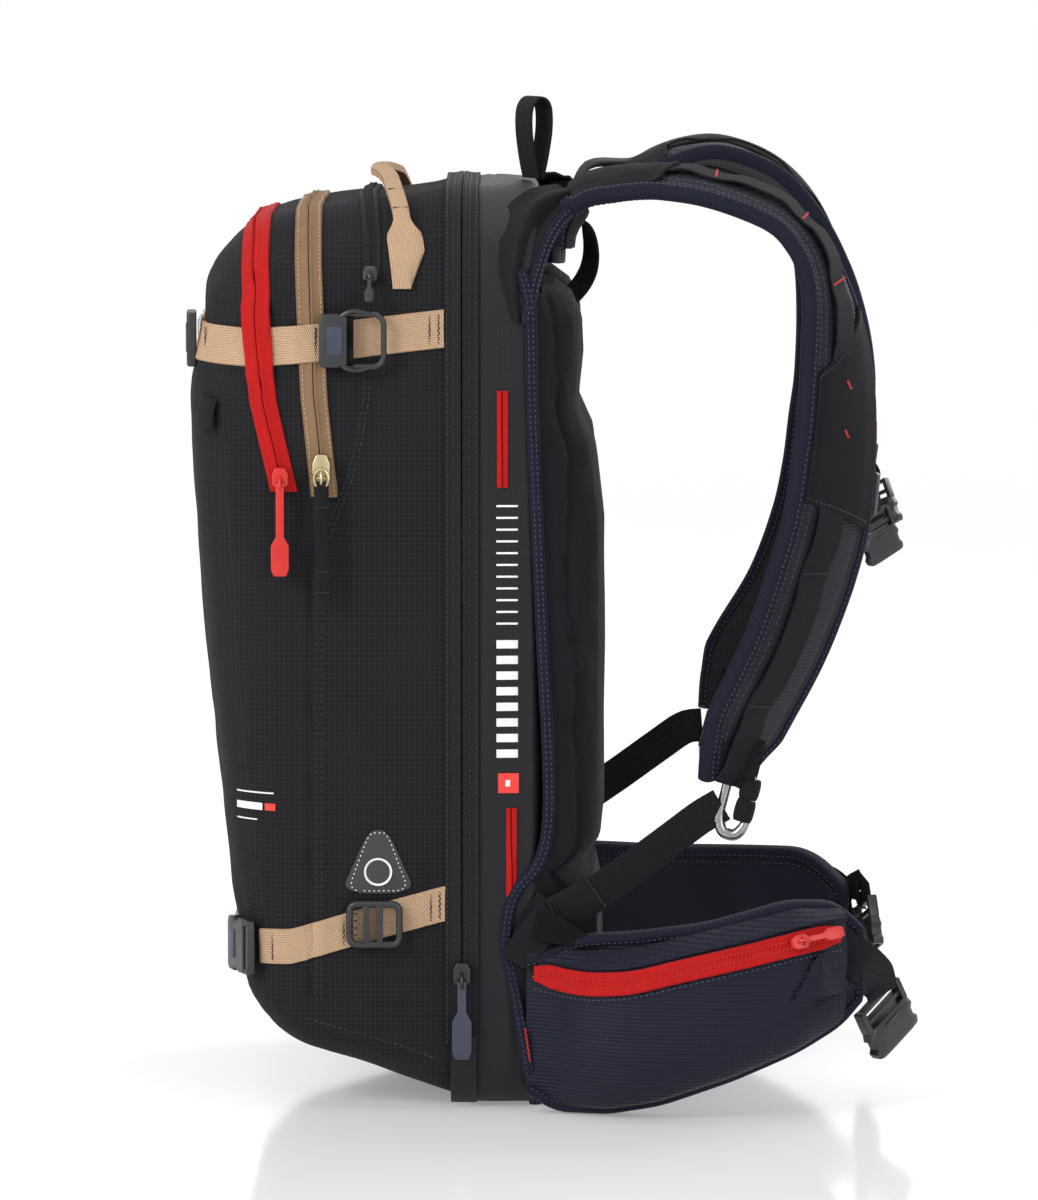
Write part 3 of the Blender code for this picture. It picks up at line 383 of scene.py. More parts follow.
def open_mesh(name, colour):
    """Spacer mesh: rows of small holes filled with painted shade."""
    g = Graph(name)
    cells = g.node("TexVoronoi", feature="F1")
    g.feed(cells.inputs["Vector"], g.place())
    cells.inputs["Scale"].default_value = 1.0 / 0.0030
    cells.inputs["Randomness"].default_value = 0.15
    rim = g.math("SUBTRACT", 1.0, g.math("MINIMUM", g.math("MULTIPLY", cells.outputs["Distance"], 2.2), 1.0))
    # painted shade: the colour falls towards 0.35 times its tone inside each hole, where the bump below sinks
    # it
    base = g.mixed(rim, shade(colour, 1.4), shade(colour, 0.35))
    height = g.math("SUBTRACT", 1.0, rim)
    return g.finish(base, 0.9, normal=g.bump(height, 0.0007), Sheen_Weight=0.04, Sheen_Roughness=0.5,
                    Specular_IOR_Level=0.1)


def moulded(name, colour, roughness=0.35, **constants):
    """Moulded plastic with a fine sparked grain and faint rubbed patches."""
    g = Graph(name)
    fine = g.grain(0.0006, 2.0)
    rub = g.grain(0.012, 4.0)
    base = g.mixed(rub, shade(colour, 0.85), shade(colour, 1.25))
    rough = g.math("ADD", roughness - 0.06, g.math("MULTIPLY", rub, 0.14))
    return g.finish(base, rough, normal=g.bump(fine, 0.00006), **constants)


def metal(name, colour, roughness):
    """Bare metal with faint rubbed patches."""
    g = Graph(name)
    rub = g.grain(0.006, 5.0)
    base = g.mixed(rub, shade(colour, 0.8), shade(colour, 1.1))
    rough = g.math("ADD", roughness - 0.05, g.math("MULTIPLY", rub, 0.15))
    return g.finish(base, rough, metallic=1.0, normal=g.bump(g.grain(0.0015, 3.0), 0.00005))


def thread(name, colour):
    """Sewing thread, a little uneven in tone."""
    g = Graph(name)
    tone = g.grain(0.0012, 2.0)
    return g.finish(g.mixed(tone, shade(colour, 0.75), shade(colour, 1.2)), 0.6,
                    normal=g.bump(tone, 0.0001), Sheen_Weight=0.04)


BLACK = (0.0122, 0.0117, 0.0136)
NAVY = (0.0086, 0.0094, 0.0185)
SLATE = (0.0112, 0.0117, 0.0225)
RED = (0.45, 0.011, 0.010)
TAN = (0.63, 0.42, 0.265)
WHITE = (0.80, 0.80, 0.80)

LOOKS = {
    "ripstop": ripstop("black_ripstop_cloth", BLACK, 0.85),
    "stretch": ripstop("black_stretch_cloth", shade(BLACK, 1.15), 0.9, pitch=0.0009, contrast=1.3),
    "lining": ripstop("grey_lining", (0.10, 0.10, 0.11), 0.8, pitch=0.004),
    "coated": coated("coated_black_cloth", (0.0105, 0.0100, 0.0128)),
    "navy": ribbed("navy_ribbed_cloth", NAVY, 0.8, pitch=0.0017),
    "navy_smooth": coated("navy_smooth_cloth", (0.0085, 0.0070, 0.0165), 0.7),
    "navy_ribs": ribbed("navy_pocket_cloth", shade(NAVY, 1.1), 0.62),
    "strap_ribs": ribbed("strap_ribbed_cloth", (0.0215, 0.0208, 0.0280), 0.7),
    "binding": twill("navy_twill_binding", SLATE, 0.75),
    "red_tape": knit_tape("red_zip_tape_knit", RED),
    "tan_tape": knit_tape("tan_zip_tape_knit", (0.24, 0.148, 0.082)),
    "black_tape": knit_tape("black_zip_tape_knit", shade(BLACK, 1.25)),
    "tan_web": webbing("tan_webbing_weave", TAN),
    "black_web": webbing("black_webbing_weave", shade(BLACK, 1.35), rib=0.0016, contrast=0.35),
    "pad_mesh": open_mesh("black_spacer_mesh", shade(BLACK, 1.6)),
    "pad_cloth": ripstop("black_pad_cloth", shade(BLACK, 1.1), 0.85, pitch=0.0011, contrast=1.35),
    "black_plastic": moulded("black_moulded_plastic", (0.016, 0.016, 0.018)),
    "frame_plastic": moulded("frame_sheet_plastic", (0.03, 0.03, 0.03), 0.5),
    "red_plastic": moulded("red_moulded_plastic", (0.58, 0.018, 0.014)),
    "navy_plastic": moulded("navy_moulded_plastic", (0.030, 0.036, 0.060), 0.4),
    "black_rubber": moulded("black_hose_rubber", (0.012, 0.012, 0.012), 0.6),
    "steel": metal("polished_steel_metal", (0.30, 0.30, 0.30), 0.24),
    "brass": metal("antique_brass_metal", (0.50, 0.42, 0.25), 0.35),
    "black_metal": metal("black_coated_metal", (0.05, 0.05, 0.05), 0.35),
    "aluminium": metal("plain_aluminium_metal", (0.72, 0.72, 0.74), 0.35),
    "anodised": metal("grey_anodised_metal", (0.32, 0.33, 0.36), 0.35),
    "airbag": ripstop("orange_airbag_cloth", (0.75, 0.13, 0.04), 0.55, pitch=0.005, contrast=1.2),
    "red_thread": thread("red_thread_cord", RED),
    "black_thread": thread("black_thread_cord", (0.006, 0.006, 0.006)),
    "grey_thread": thread("grey_thread_cord", (0.035, 0.036, 0.042)),
    "navy_thread": thread("navy_thread_cord", (0.045, 0.058, 0.095)),
    "tan_thread": thread("tan_thread_cord", shade(TAN, 0.9)),
    "white_print": moulded("white_print_ink", WHITE, 0.6),
    "red_print": moulded("red_print_ink", (0.75, 0.04, 0.03), 0.5),
    "patch": moulded("grey_patch_rubber", (0.030, 0.030, 0.034), 0.6),
}


# ---------------------------------------------------------------- mesh helpers
def add_piece(name, points, faces, look, body, strip=None, angle=40, looks=None):
    """One piece in the row frame, riding on a body. strip gives (along, across) at each point.

    look is one material's key, or several with looks giving each face's place among them.
    """
    mesh = bpy.data.meshes.new(name)
    mesh.from_pydata([tuple(p) for p in points], [], faces)
    if strip:
        layer = mesh.attributes.new("strip", "FLOAT_VECTOR", "POINT")
        layer.data.foreach_set("vector", [c for s, t in strip for c in (s, t, 0.0)])
    for key in (look,) if isinstance(look, str) else look:
        mesh.materials.append(LOOKS[key])
    if looks:
        mesh.polygons.foreach_set("material_index", looks)
    mesh.validate()
    bm = bmesh.new()
    bm.from_mesh(mesh)
    bmesh.ops.recalc_face_normals(bm, faces=bm.faces)
    bm.to_mesh(mesh)
    bm.free()
    mesh.shade_smooth()
    mesh.set_sharp_from_angle(angle=radians(angle))
    obj = bpy.data.objects.new(name, mesh)
    bpy.context.scene.collection.objects.link(obj)
    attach(obj, body)
    return obj


def loft_faces(spans, count, closed=False, wrap=True):
    """Quads of a loft: rings of count points, spans stretches between rings."""
    faces = []
    for i in range(spans):
        a = i * count
        b = (0 if closed and i == spans - 1 else a + count)
        for j in range(count if wrap else count - 1):
            k = (j + 1) % count
            faces.append((a + j, a + k, b + k, b + j))
    return faces


def loft(name, rings, look, body, closed=False, strip=None, angle=40):
    """A closed solid through rings, capped at both ends or joined end to end."""
    count = len(rings[0])
    points = [p for ring in rings for p in ring]
    faces = loft_faces(len(rings) if closed else len(rings) - 1, count, closed)
    if not closed:
        faces.append(tuple(range(count)))
        faces.append(tuple(range(len(points) - count, len(points))))
    return add_piece(name, points, faces, look, body, strip, angle)


def two_tone(name, rings, looks, body, second, caps=(0, 0)):
    """A closed solid through rings in two looks. second(i, j) is true for a face that has the other one."""
    count = len(rings[0])
    points = [p for ring in rings for p in ring]
    faces = loft_faces(len(rings) - 1, count)
    chosen = [int(second(k // count, k % count)) for k in range(len(faces))]
    faces += [tuple(range(count)), tuple(range(len(points) - count, len(points)))]
    return add_piece(name, points, faces, looks, body, looks=chosen + list(caps))


def tube(name, points, radius, look, body, steps, closed=False, flat=1.0, radii=None):
    """A round tube along points. flat under 1 squeezes it across its second direction."""
    along = tangents(points)
    if closed:
        last = len(points)
        along = [(points[(i + 1) % last] - points[i - 1]).normalized() for i in range(last)]
    side = along[0].orthogonal().normalized()
    reach = lengths(points)
    rings, strip = [], []
    for i, (point, direction) in enumerate(zip(points, along)):
        side = (side - direction * side.dot(direction)).normalized()
        up = direction.cross(side)
        r = radii[i] if radii else radius
        ring = []
        for s in range(steps):
            a = 2 * pi * s / steps
            ring.append(point + r * (side * cos(a) + up * sin(a) * flat))
            strip.append((reach[i], r * a))
        rings.append(ring)
    return loft(name, rings, look, body, closed, strip)


def capsule_line(points, faces, start, end, normal, width, height):
    """Adds one stitch: a small raised lozenge from start to end."""
    along = (end - start).normalized()
    side = along.cross(normal).normalized() * width / 2
    middle, lift = (start + end) / 2, normal * height
    base = len(points)
    reach = (end - start) * 0.30
    points += [start, end, middle - reach + side, middle + reach + side, middle - reach - side,
               middle + reach - side, middle - reach + lift, middle + reach + lift]
    for a, b, c in ((0, 6, 2), (0, 4, 6), (1, 3, 7), (1, 7, 5), (0, 2, 4), (1, 5, 3)):
        faces.append((base + a, base + b, base + c))
    for a, b, c, d in ((2, 6, 7, 3), (4, 5, 7, 6), (2, 3, 5, 4)):
        faces.append((base + a, base + b, base + c, base + d))


def stitches(name, runs, look, body, length=0.0022, gap=0.0010, width=0.0006, height=0.0004):
    """Rows of stitches. Each run is a list of (point, normal) along a seam."""
    points, faces = [], []
    for run in runs:
        line = [Vector(p) for p, _ in run]
        total = lengths(line)[-1]
        at, ends = 0.0, []
        while at + length <= total:
            ends += [at, at + length]
            at += length + gap
        spots = places(line, ends)
        ends = [line[k].lerp(line[k + 1], share) for k, share in spots]
        for i in range(0, len(ends), 2):
            normal = Vector(run[spots[i + 1][0]][1])
            capsule_line(points, faces, ends[i], ends[i + 1], normal, width, height)
    return add_piece(name, points, faces, look, body, angle=80)


# Width and height of a bartack's stitches.
TACK = (0.0009, 0.0006)
BOLD_TACK = (0.0010, 0.0008)


def zigzag(name, rows, look, body, count, size):
    """Bartacks. Each row is (start, end, side, normal), filled with count back-and-forth stitches."""
    points, faces = [], []
    for start, end, side, normal in rows:
        for i in range(count):
            a = start.lerp(end, i / count) + side * (0.5 if i % 2 else -0.5)
            b = start.lerp(end, (i + 1) / count) + side * (-0.5 if i % 2 else 0.5)
            capsule_line(points, faces, a, b, normal, *size)
    return add_piece(name, points, faces, look, body, angle=80)


def surface(obj):
    """A search tree of a piece's mesh in the row frame."""
    mesh = obj.data
    return BVHTree.FromPolygons([v.co.copy() for v in mesh.vertices],
                                [tuple(p.vertices) for p in mesh.polygons])


OUTSIDE = 0.5               # metres, well away from the pack


def hit(tree, target, outward):
    """The outermost point of the surface on the line from target along outward, with the way out."""
    outward = Vector(outward).normalized()
    point, normal, _, _ = tree.ray_cast(Vector(target) + outward * OUTSIDE, -outward)
    return point, normal if normal.dot(outward) > 0 else -normal


def on_side(tree, y, z, side, lift):
    """(point, normal) on the pack's side at a height and depth."""
    point, normal = hit(tree, (0, y, z), (side, 0, 0))
    return point + normal * lift, normal


# Cross-sections of draped strips: (share of half the width, share of the thickness).
FLAT_PROFILE = ((-1, 0.45), (-0.96, 0.95), (-0.5, 1.0), (0, 1.0), (0.5, 1.0), (0.96, 0.95), (1, 0.45))
LIPPED_PROFILE = ((-1, 0.4), (-0.95, 0.8), (-0.55, 0.85), (-0.30, 1.15), (-0.12, 1.55), (-0.045, 1.45),
                  (-0.02, 0.35), (0.02, 0.35), (0.045, 1.45), (0.12, 1.55), (0.30, 1.15), (0.55, 0.85),
                  (0.95, 0.8), (1, 0.4))


def there_and_back(profile):
    """Shares of the half width round a strip: over its face and back under it."""
    shares = [share for share, _ in profile]
    return shares + shares[::-1]


def draped(name, tree, stations, width, thickness, look, body, lift, profile=FLAT_PROFILE):
    """A strip on a surface. stations are (target, outward, across); lift(point) is its clearance.

    Returns the piece with its centre line as (point, normal, across).
    """
    bases, line = [], []
    for target, outward, across in stations:
        row = []
        for share, _ in profile:
            row.append(hit(tree, Vector(target) + Vector(across) * share * width / 2, outward))
        bases.append(row)
    centres = [row[len(row) // 2][0] for row in bases]
    reach = lengths(centres)
    rings, strip = [], []
    for i, row in enumerate(bases):
        top, bottom = [], []
        for (point, normal), (share, height) in zip(row, profile):
            clear = lift(point)
            top.append(point + normal * (clear + thickness * height))
            bottom.append(point + normal * max(clear - 0.0002, 0.0))
        rings.append(top + bottom[::-1])
        strip += [(reach[i], share * width / 2) for share in there_and_back(profile)]
        middle = row[len(row) // 2]
        clear = lift(middle[0])
        line.append((middle[0] + middle[1] * (clear + thickness), middle[1], Vector(stations[i][2])))
    return loft(name, rings, look, body, strip=strip, angle=50), line


def ribbon(name, points, across, width, thickness, look, body, profile=FLAT_PROFILE):
    """A free strip along points. across is its width direction, one for all points or one for each."""
    rings, strip = [], []
    if isinstance(across, Vector):
        across = [across] * len(points)
    reach = lengths(points)
    for i, (point, along) in enumerate(zip(points, tangents(points))):
        side = (across[i] - along * across[i].dot(along)).normalized()
        normal = side.cross(along).normalized()
        offsets = [(side * share * width / 2, normal * thickness * (height - 0.5))
                   for share, height in profile]
        top = [point + aside + rise for aside, rise in offsets]
        low = [point + aside - rise for aside, rise in offsets]
        rings.append(top + low[::-1])
        strip += [(reach[i], share * width / 2) for share in there_and_back(profile)]
    return loft(name, rings, look, body, strip=strip, angle=50)


# ---------------------------------------------------------------- the pack's outline, as fine rings
def perimeter(inset, low, step):
    """(x, z) round the body seen from behind, from the middle of the base up the +X side and round."""
    half, bottom, top = HALF_WIDTH - inset, low + inset, HEIGHT - inset
    base_r, top_r = max(BASE_RADIUS - inset, 0.006), max(TOP_RADIUS - inset, 0.008)
    counts = [max(2, round(s / step)) for s in (HALF_WIDTH - BASE_RADIUS, BASE_RADIUS * pi / 2,
                                                HEIGHT - BASE_RADIUS - TOP_RADIUS, TOP_RADIUS * pi / 2,
                                                HALF_WIDTH - TOP_RADIUS)]

    def arc(cx, cz, radius, start, count):
        return [(cx + radius * cos(start + s / count * pi / 2),
                 cz + radius * sin(start + s / count * pi / 2)) for s in range(count + 1)]

    base = [((half - base_r) * s / counts[0], bottom) for s in range(counts[0])]
    corner = arc(half - base_r, bottom + base_r, base_r, -pi / 2, counts[1])
    z0, z1 = bottom + base_r, top - top_r
    side = [(half, z0 + (z1 - z0) * s / counts[2]) for s in range(1, counts[2])]
    shoulder = arc(half - top_r, z1, top_r, 0.0, counts[3])
    crown = [((half - top_r) * (1 - s / counts[4]), top) for s in range(1, counts[4])]
    right = base + corner + side + shoulder + crown
    left = [(-x, z) for x, z in right[1:]][::-1]
    return right + [(0.0, top)] + left


def front_ring(depth, inset):
    """A ring of the front shell: depth is measured from its rim, and inset towards its middle."""
    ring = []
    share = depth / FRONT_DEPTH
    for x, z in perimeter(inset, 0.004, CLOTH_STEP):
        lean = 1 - 0.70 * max(0.0, FULLEST_HEIGHT - z) ** 1.25 - 0.20 * max(0.0, z - FULLEST_HEIGHT)
        bulge = SIDE_BULGE * sin(pi * min(max(z / HEIGHT, 0), 1)) * sin(pi * share) if share < 1 else 0
        rise = 0.27 * depth * (1 - z / HEIGHT) ** 4
        drop = 0.14 * depth * (z / HEIGHT) ** 6
        ring.append(Vector((x * (1 + bulge / HALF_WIDTH), ZIP_Y - RIM_GAP - depth * lean, z + rise - drop)))
    return ring


def shell_sections(depth, edge, wall_inset, counts):
    """(depth, inset) of a tub's rings from its rim round its edge to its middle."""
    wall, round_, face = counts
    sections = [(s / wall * (depth - edge), wall_inset) for s in range(wall + 1)]
    for s in range(1, round_ + 1):
        a = s / round_ * pi / 2
        sections.append((depth - edge + edge * sin(a), wall_inset + edge * (1 - cos(a))))
    for s in range(1, face + 1):
        share = s / face
        inset = wall_inset + edge + share * (HALF_WIDTH - 0.012 - wall_inset - edge)
        sections.append((depth + FRONT_CROWN * sin(share * pi / 2), inset))
    return sections


# Seam of the side panel, and of the panel below it: Y by height, and height by Y.
SIDE_SEAM = ((0.0675, -0.1129), (0.1254, -0.1127), (0.3059, -0.1122), (0.3339, -0.1048), (0.3507, -0.0970),
             (0.3675, -0.0919), (0.3899, -0.0874), (0.4178, -0.0840))
BASE_SEAM = ((-0.1175, 0.0493), (-0.0911, 0.0413), (-0.0629, 0.0333), (-0.0421, 0.0253), (-0.0300, 0.0220))
UPPER_STRAP = ((-24, 0.441), (0, 0.434), (20, 0.430), (45, 0.432), (90, 0.432))
LOWER_STRAP = ((-24, 0.118), (-6, 0.106), (12, 0.093), (30, 0.090), (90, 0.094))


def strap_height(knots):
    """A strap's height by the angle round the shell, the same on both sides."""
    return lambda a: between(min(a, pi - a) * 180 / pi, knots)


def top_corner(point):
    """Share of the cloth's pull inwards at the top front corner."""
    return smooth(point.z, 0.385, 0.450) * smooth(-point.y, 0.120, 0.160)


def cloth_offset(point):
    """How far the front cloth stands off its plain shape: puffs, creases and pulled seams."""
    x, y, z = point
    angle = atan2(-(y - SHELL_MIDDLE_Y), abs(x))
    wave = 0.0016 * fold((x, y, z * 0.45), 0.052) + 0.0008 * fold((x, y, z * 0.8), 0.021, 3.0)
    wave += 0.0005 * fold((x * 0.6, y, z), 0.009, 5.0) * smooth(fold((x, y, z), 0.06, 9.0), -0.1, 0.5)
    wave -= 0.0055 * smooth(z, 0.395, 0.455) * smooth(-y, 0.125, 0.165)
    for knots, width in ((UPPER_STRAP, 0.017), (LOWER_STRAP, 0.016)):
        away = z - strap_height(knots)(angle)
        pull = bell(away, width)
        wave -= 0.0012 * pull
        ruck = bell(abs(away) - 0.026, 0.016)
        wave += 0.0009 * ruck * (0.4 + fold((x * 1.4, y * 1.4, z * 0.4), 0.011, 7.0))
    side = smooth(abs(x), 0.100, 0.125)
    if 0.060 < z < 0.420:
        off = y - between(z, SIDE_SEAM)
        wave += side * (0.0008 * bell(abs(off) - 0.0045, 0.003) - 0.0010 * bell(off, 0.0016))
    if z < 0.070 and y < -0.035:
        off = z - between(y, BASE_SEAM)
        wave += side * (0.0006 * bell(abs(off) - 0.004, 0.003) - 0.0009 * bell(off, 0.0015))
    slack = bell(z - 0.250, 0.110) * (1 - side)
    wave += slack * 0.0012 * fold((x, y, z * 0.8), 0.075, 11.0)
    rim = smooth(-(y - ZIP_Y), 0.004, 0.018)
    return wave * rim


def front_cloth():
    """The front shell's cloth and lining, open towards the back."""
    outer = [front_ring(-0.0020, 0.0)]
    outer += [front_ring(d, i) for d, i in shell_sections(FRONT_DEPTH, FRONT_EDGE_RADIUS, 0.0, (34, 14, 20))]
    points = [p for ring in outer for p in ring]
    per = len(outer[0])
    faces = loft_faces(len(outer) - 1, per)
    faces.append(tuple(range(len(points) - per, len(points))))
    mesh = bpy.data.meshes.new("shape")
    mesh.from_pydata([tuple(p) for p in points], [], faces)
    bm = bmesh.new()
    bm.from_mesh(mesh)
    bmesh.ops.recalc_face_normals(bm, faces=bm.faces)
    bm.normal_update()
    bm.verts.ensure_lookup_table()
    on_right = bm.verts[per * 10 + 60]
    turn = 1 if on_right.normal.x > 0 else -1
    moved = [v.co + v.normal * turn * cloth_offset(v.co) for v in bm.verts]
    bm.free()
    bpy.data.meshes.remove(mesh)
    rings = [moved[i * per : (i + 1) * per] for i in range(len(outer))]
    inner = shell_sections(FRONT_DEPTH - SHELL_WALL, FRONT_EDGE_RADIUS - SHELL_WALL, SHELL_WALL, (6, 4, 2))
    inner = [front_ring(d, i) for d, i in inner]
    centre = Vector((0, -0.090, 0.300))
    inner = [[p + (centre - p).normalized() * 0.0085 * top_corner(p) for p in ring] for ring in inner]
    rings = rings[::-1] + inner
    last = len(outer) - 1
    piece = two_tone("front_cloth", rings, ("ripstop", "lining"), FRONT, lambda i, j: i >= last, (0, 1))
    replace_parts(piece, "front_shell")
    return surface(piece)


# Rear edge of the airbag band on the pack's sides, where the piping runs: Y by height.
PIPING = ((0.000, 0.0113), (0.0246, 0.0079), (0.0701, 0.0012), (0.0963, -0.0033), (0.1218, 0.0012),
          (0.1400, 0.0150), (0.1632, 0.0205), (0.2000, 0.0205), (0.2715, 0.0169), (0.3875, 0.0118),
          (0.4400, 0.0105), (0.4578, 0.0095), (0.4734, 0.0046))


# Seam along the band's middle: Y by height.
BAND_SEAM = ((0.1212, 0.0023), (0.1479, 0.0001), (0.1858, -0.0010), (0.2664, -0.0027), (0.3450, -0.0044),
             (0.4037, -0.0060), (0.4567, -0.0082), (0.5118, -0.0105))


def band_offset(point):
    """How far the band's cloth stands off its plain shape."""
    x, y, z = point
    wave = 0.0006 * fold((x, y, z * 0.35), 0.030, 5.0)
    swell = bell(y + 0.008, 0.014) * 0.0012
    seam = 0.0006 * bell(y - between(z, BAND_SEAM), 0.0013)
    return (wave + swell - seam) * smooth(y - ZIP_Y, 0.006, 0.014) * smooth(BACK_WALL_Y - y, 0.0, 0.010)


def band_cloth():
    """The airbag band and back wall: coated cloth outside and grey lining within."""
    rim, r = ZIP_Y + RIM_GAP, BACK_EDGE_RADIUS
    inner_y = BACK_WALL_Y - SHELL_WALL
    outer = [(BACK_WALL_Y, inset) for inset in (HALF_WIDTH - 0.02, 0.09, 0.06, 0.03, r)]
    for a in (pi / 10, pi / 5, 0.3 * pi, 0.4 * pi):
        outer.append((BACK_WALL_Y - r * (1 - cos(a)), r * (1 - sin(a))))
    wall = BACK_WALL_Y - r
    outer += [(wall - (wall - rim) * s / 14, 0.0) for s in range(15)] + [(ZIP_Y + 0.0005, 0.0)]
    inner = [(rim, SHELL_WALL), (inner_y, SHELL_WALL), (inner_y, 0.06), (inner_y, HALF_WIDTH - 0.02)]
    rings = []
    for y, inset in outer:
        ring = []
        for x, z in perimeter(inset, 0.0, CLOTH_STEP):
            out = Vector((x, 0, (z - HEIGHT / 2) * 0.4 if z > HEIGHT - TOP_RADIUS else 0.0))
            p = Vector((x, y, z))
            ring.append(p + (out.normalized() if out.length > 0.001 else Vector()) * band_offset(p))
        rings.append(ring)
    last = len(rings) - 1
    rings += [[Vector((x, y, z)) for x, z in perimeter(inset, 0.0, CLOTH_STEP)] for y, inset in inner]
    piece = two_tone("band_cloth", rings, ("coated", "lining"), BACK, lambda i, j: i >= last, (0, 1))
    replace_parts(piece, "back_shell")
    return surface(piece)


# ---------------------------------------------------------------- zips
def over_top_stations(low_z, y_of_z, step):
    """Stations of a zip that rises up the right side, crosses the top and comes down the left."""
    stations = []
    side = CROWN_CENTRE_Z - low_z
    total = 2 * side + pi * CROWN_RADIUS
    count = round(total / step)
    for i in range(count + 1):
        s = i / count * total
        if s < side:
            z, out = low_z + s, Vector((1, 0, 0))
            target = Vector((0, y_of_z(z), z))
        elif s > total - side:
            z, out = low_z + total - s, Vector((-1, 0, 0))
            target = Vector((0, y_of_z(z), z))
        else:
            a = (s - side) / CROWN_RADIUS
            out = Vector((cos(a), 0, sin(a)))
            target = Vector((0, y_of_z(CROWN_CENTRE_Z + 0.1 * sin(a)), CROWN_CENTRE_Z))
        stations.append((target, out, Vector((0, 1, 0))))
    return stations


RED_ZIP = ((0.350, -0.1270), (0.400, -0.1385), (0.456, -0.1430), (0.520, -0.1430))
TAN_ZIP = ((0.347, -0.1045), (0.400, -0.1100), (0.456, -0.1135), (0.520, -0.1150))
TOP_ZIP = ((0.462, -0.0780), (0.495, -0.0815), (0.520, -0.0840))


def bump_range(value, low, high, edge=0.006):
    """1 between low and high, falling to 0 over edge on either side."""
    return max(0.0, min(1.0, (value - low) / edge + 1, (high - value) / edge + 1))


def teeth(name, line, look, body, reach, drop, pitch=0.0016, size=(0.0011, 0.0010)):
    """Two rows of small rounded bumps beside a zip's slit. line gives (point, normal, across)."""
    slit = [p for p, _, _ in line]
    centres = resampled(slit, pitch)
    spots = places(slit, lengths(centres))
    points, faces = [], []
    for centre, run, (k, _) in zip(centres, tangents(centres), spots):
        _, normal, across = line[k]
        side = (across - run * across.dot(run)).normalized()
        for turn in (-1, 1):
            middle = centre + side * turn * reach / 2 - normal * drop + run * (pitch / 2 if turn > 0 else 0)
            base = len(points)
            half_a, half_b = run * size[0] / 2, side * reach * 0.30
            points += [middle - half_a, middle + half_b, middle + half_a, middle - half_b,
                       middle + normal * size[1], middle - normal * 0.0003]
            for a, b in ((0, 1), (1, 2), (2, 3), (3, 0)):
                faces.append((base + a, base + b, base + 4))
                faces.append((base + b, base + a, base + 5))
    return add_piece(name, points, faces, look, body, angle=180)


def offset_run(line, share):
    """(point, normal) of a run beside a draped strip's centre line, share metres across."""
    return [(p + across * share, normal) for p, normal, across in line]


def seated(tree, run, lift):
    """A run of (point, normal) laid back over the cloth below it."""
    found = []
    for point, normal in run:
        below, _, _, _ = tree.ray_cast(point + normal * 0.02, -normal)
        found.append(((below or point) + normal * lift(point), normal))
    return found


CLEARANCE = 0.0004          # of a sewn strip over its cloth


def close(_):
    """The clearance of a strip that lies on its cloth all along."""
    return CLEARANCE


def raised(axis, low, high, amount):
    """A clearance that rises by amount between two places along an axis, on the pack's sides only."""
    def lift(point):
        return CLEARANCE + amount * bump_range(point[axis], low, high) * (abs(point.x) > 0.05)

    return lift


def pocket_zips(tree):
    """The front's three zips: tape with a slit, teeth and a stitch row along each edge."""
    for name, low, knots, width, lift, look, thread_look in (
        ("red_zip_tape", 0.350, RED_ZIP, 0.0150, raised(2, 0.414, 0.452, 0.0024), "red_tape", "red_thread"),
        ("tan_zip_tape", 0.347, TAN_ZIP, 0.0150, close, "tan_tape", "tan_thread"),
        ("top_zip_tape", 0.462, TOP_ZIP, 0.0100, close, "black_tape", "black_thread"),
    ):
        stations = over_top_stations(low, lambda z, k=knots: between(z, k), 0.004)
        piece, line = draped(name + "_knit", tree, stations, width, 0.0017, look, FRONT, lift, LIPPED_PROFILE)
        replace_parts(piece, name)
        teeth(name + "_teeth", line, look, FRONT, reach=0.0028, drop=-0.0001)
        edge = width / 2 - 0.0016
        runs = [seated(tree, offset_run(line, side * edge), lambda p, f=lift: f(p) + 0.0014)
                for side in (-1, 1)]
        stitches(name + "_stitches", runs, thread_look, FRONT, length=0.0018, gap=0.0009)


def out_of_outline(x, z):
    """The way out of the body's outline at a point on it."""
    corner_x, corner_z = HALF_WIDTH - TOP_RADIUS, HEIGHT - TOP_RADIUS
    if z < corner_z:
        return Vector((x / HALF_WIDTH, 0, 0)).normalized()
    past = x - corner_x * (1 if x > 0 else -1) if abs(x) > corner_x else 0
    return Vector((past, 0, z - corner_z)).normalized()


# Section of a perimeter tape: share of its width from the outer edge, rise.
TAPE_SECTION = ((0.00, 0.0), (0.0, 0.0012), (0.35, 0.0012), (0.62, 0.0014), (0.80, 0.0018), (0.95, 0.0020),
                (1.0, 0.0012), (1.0, 0.0))


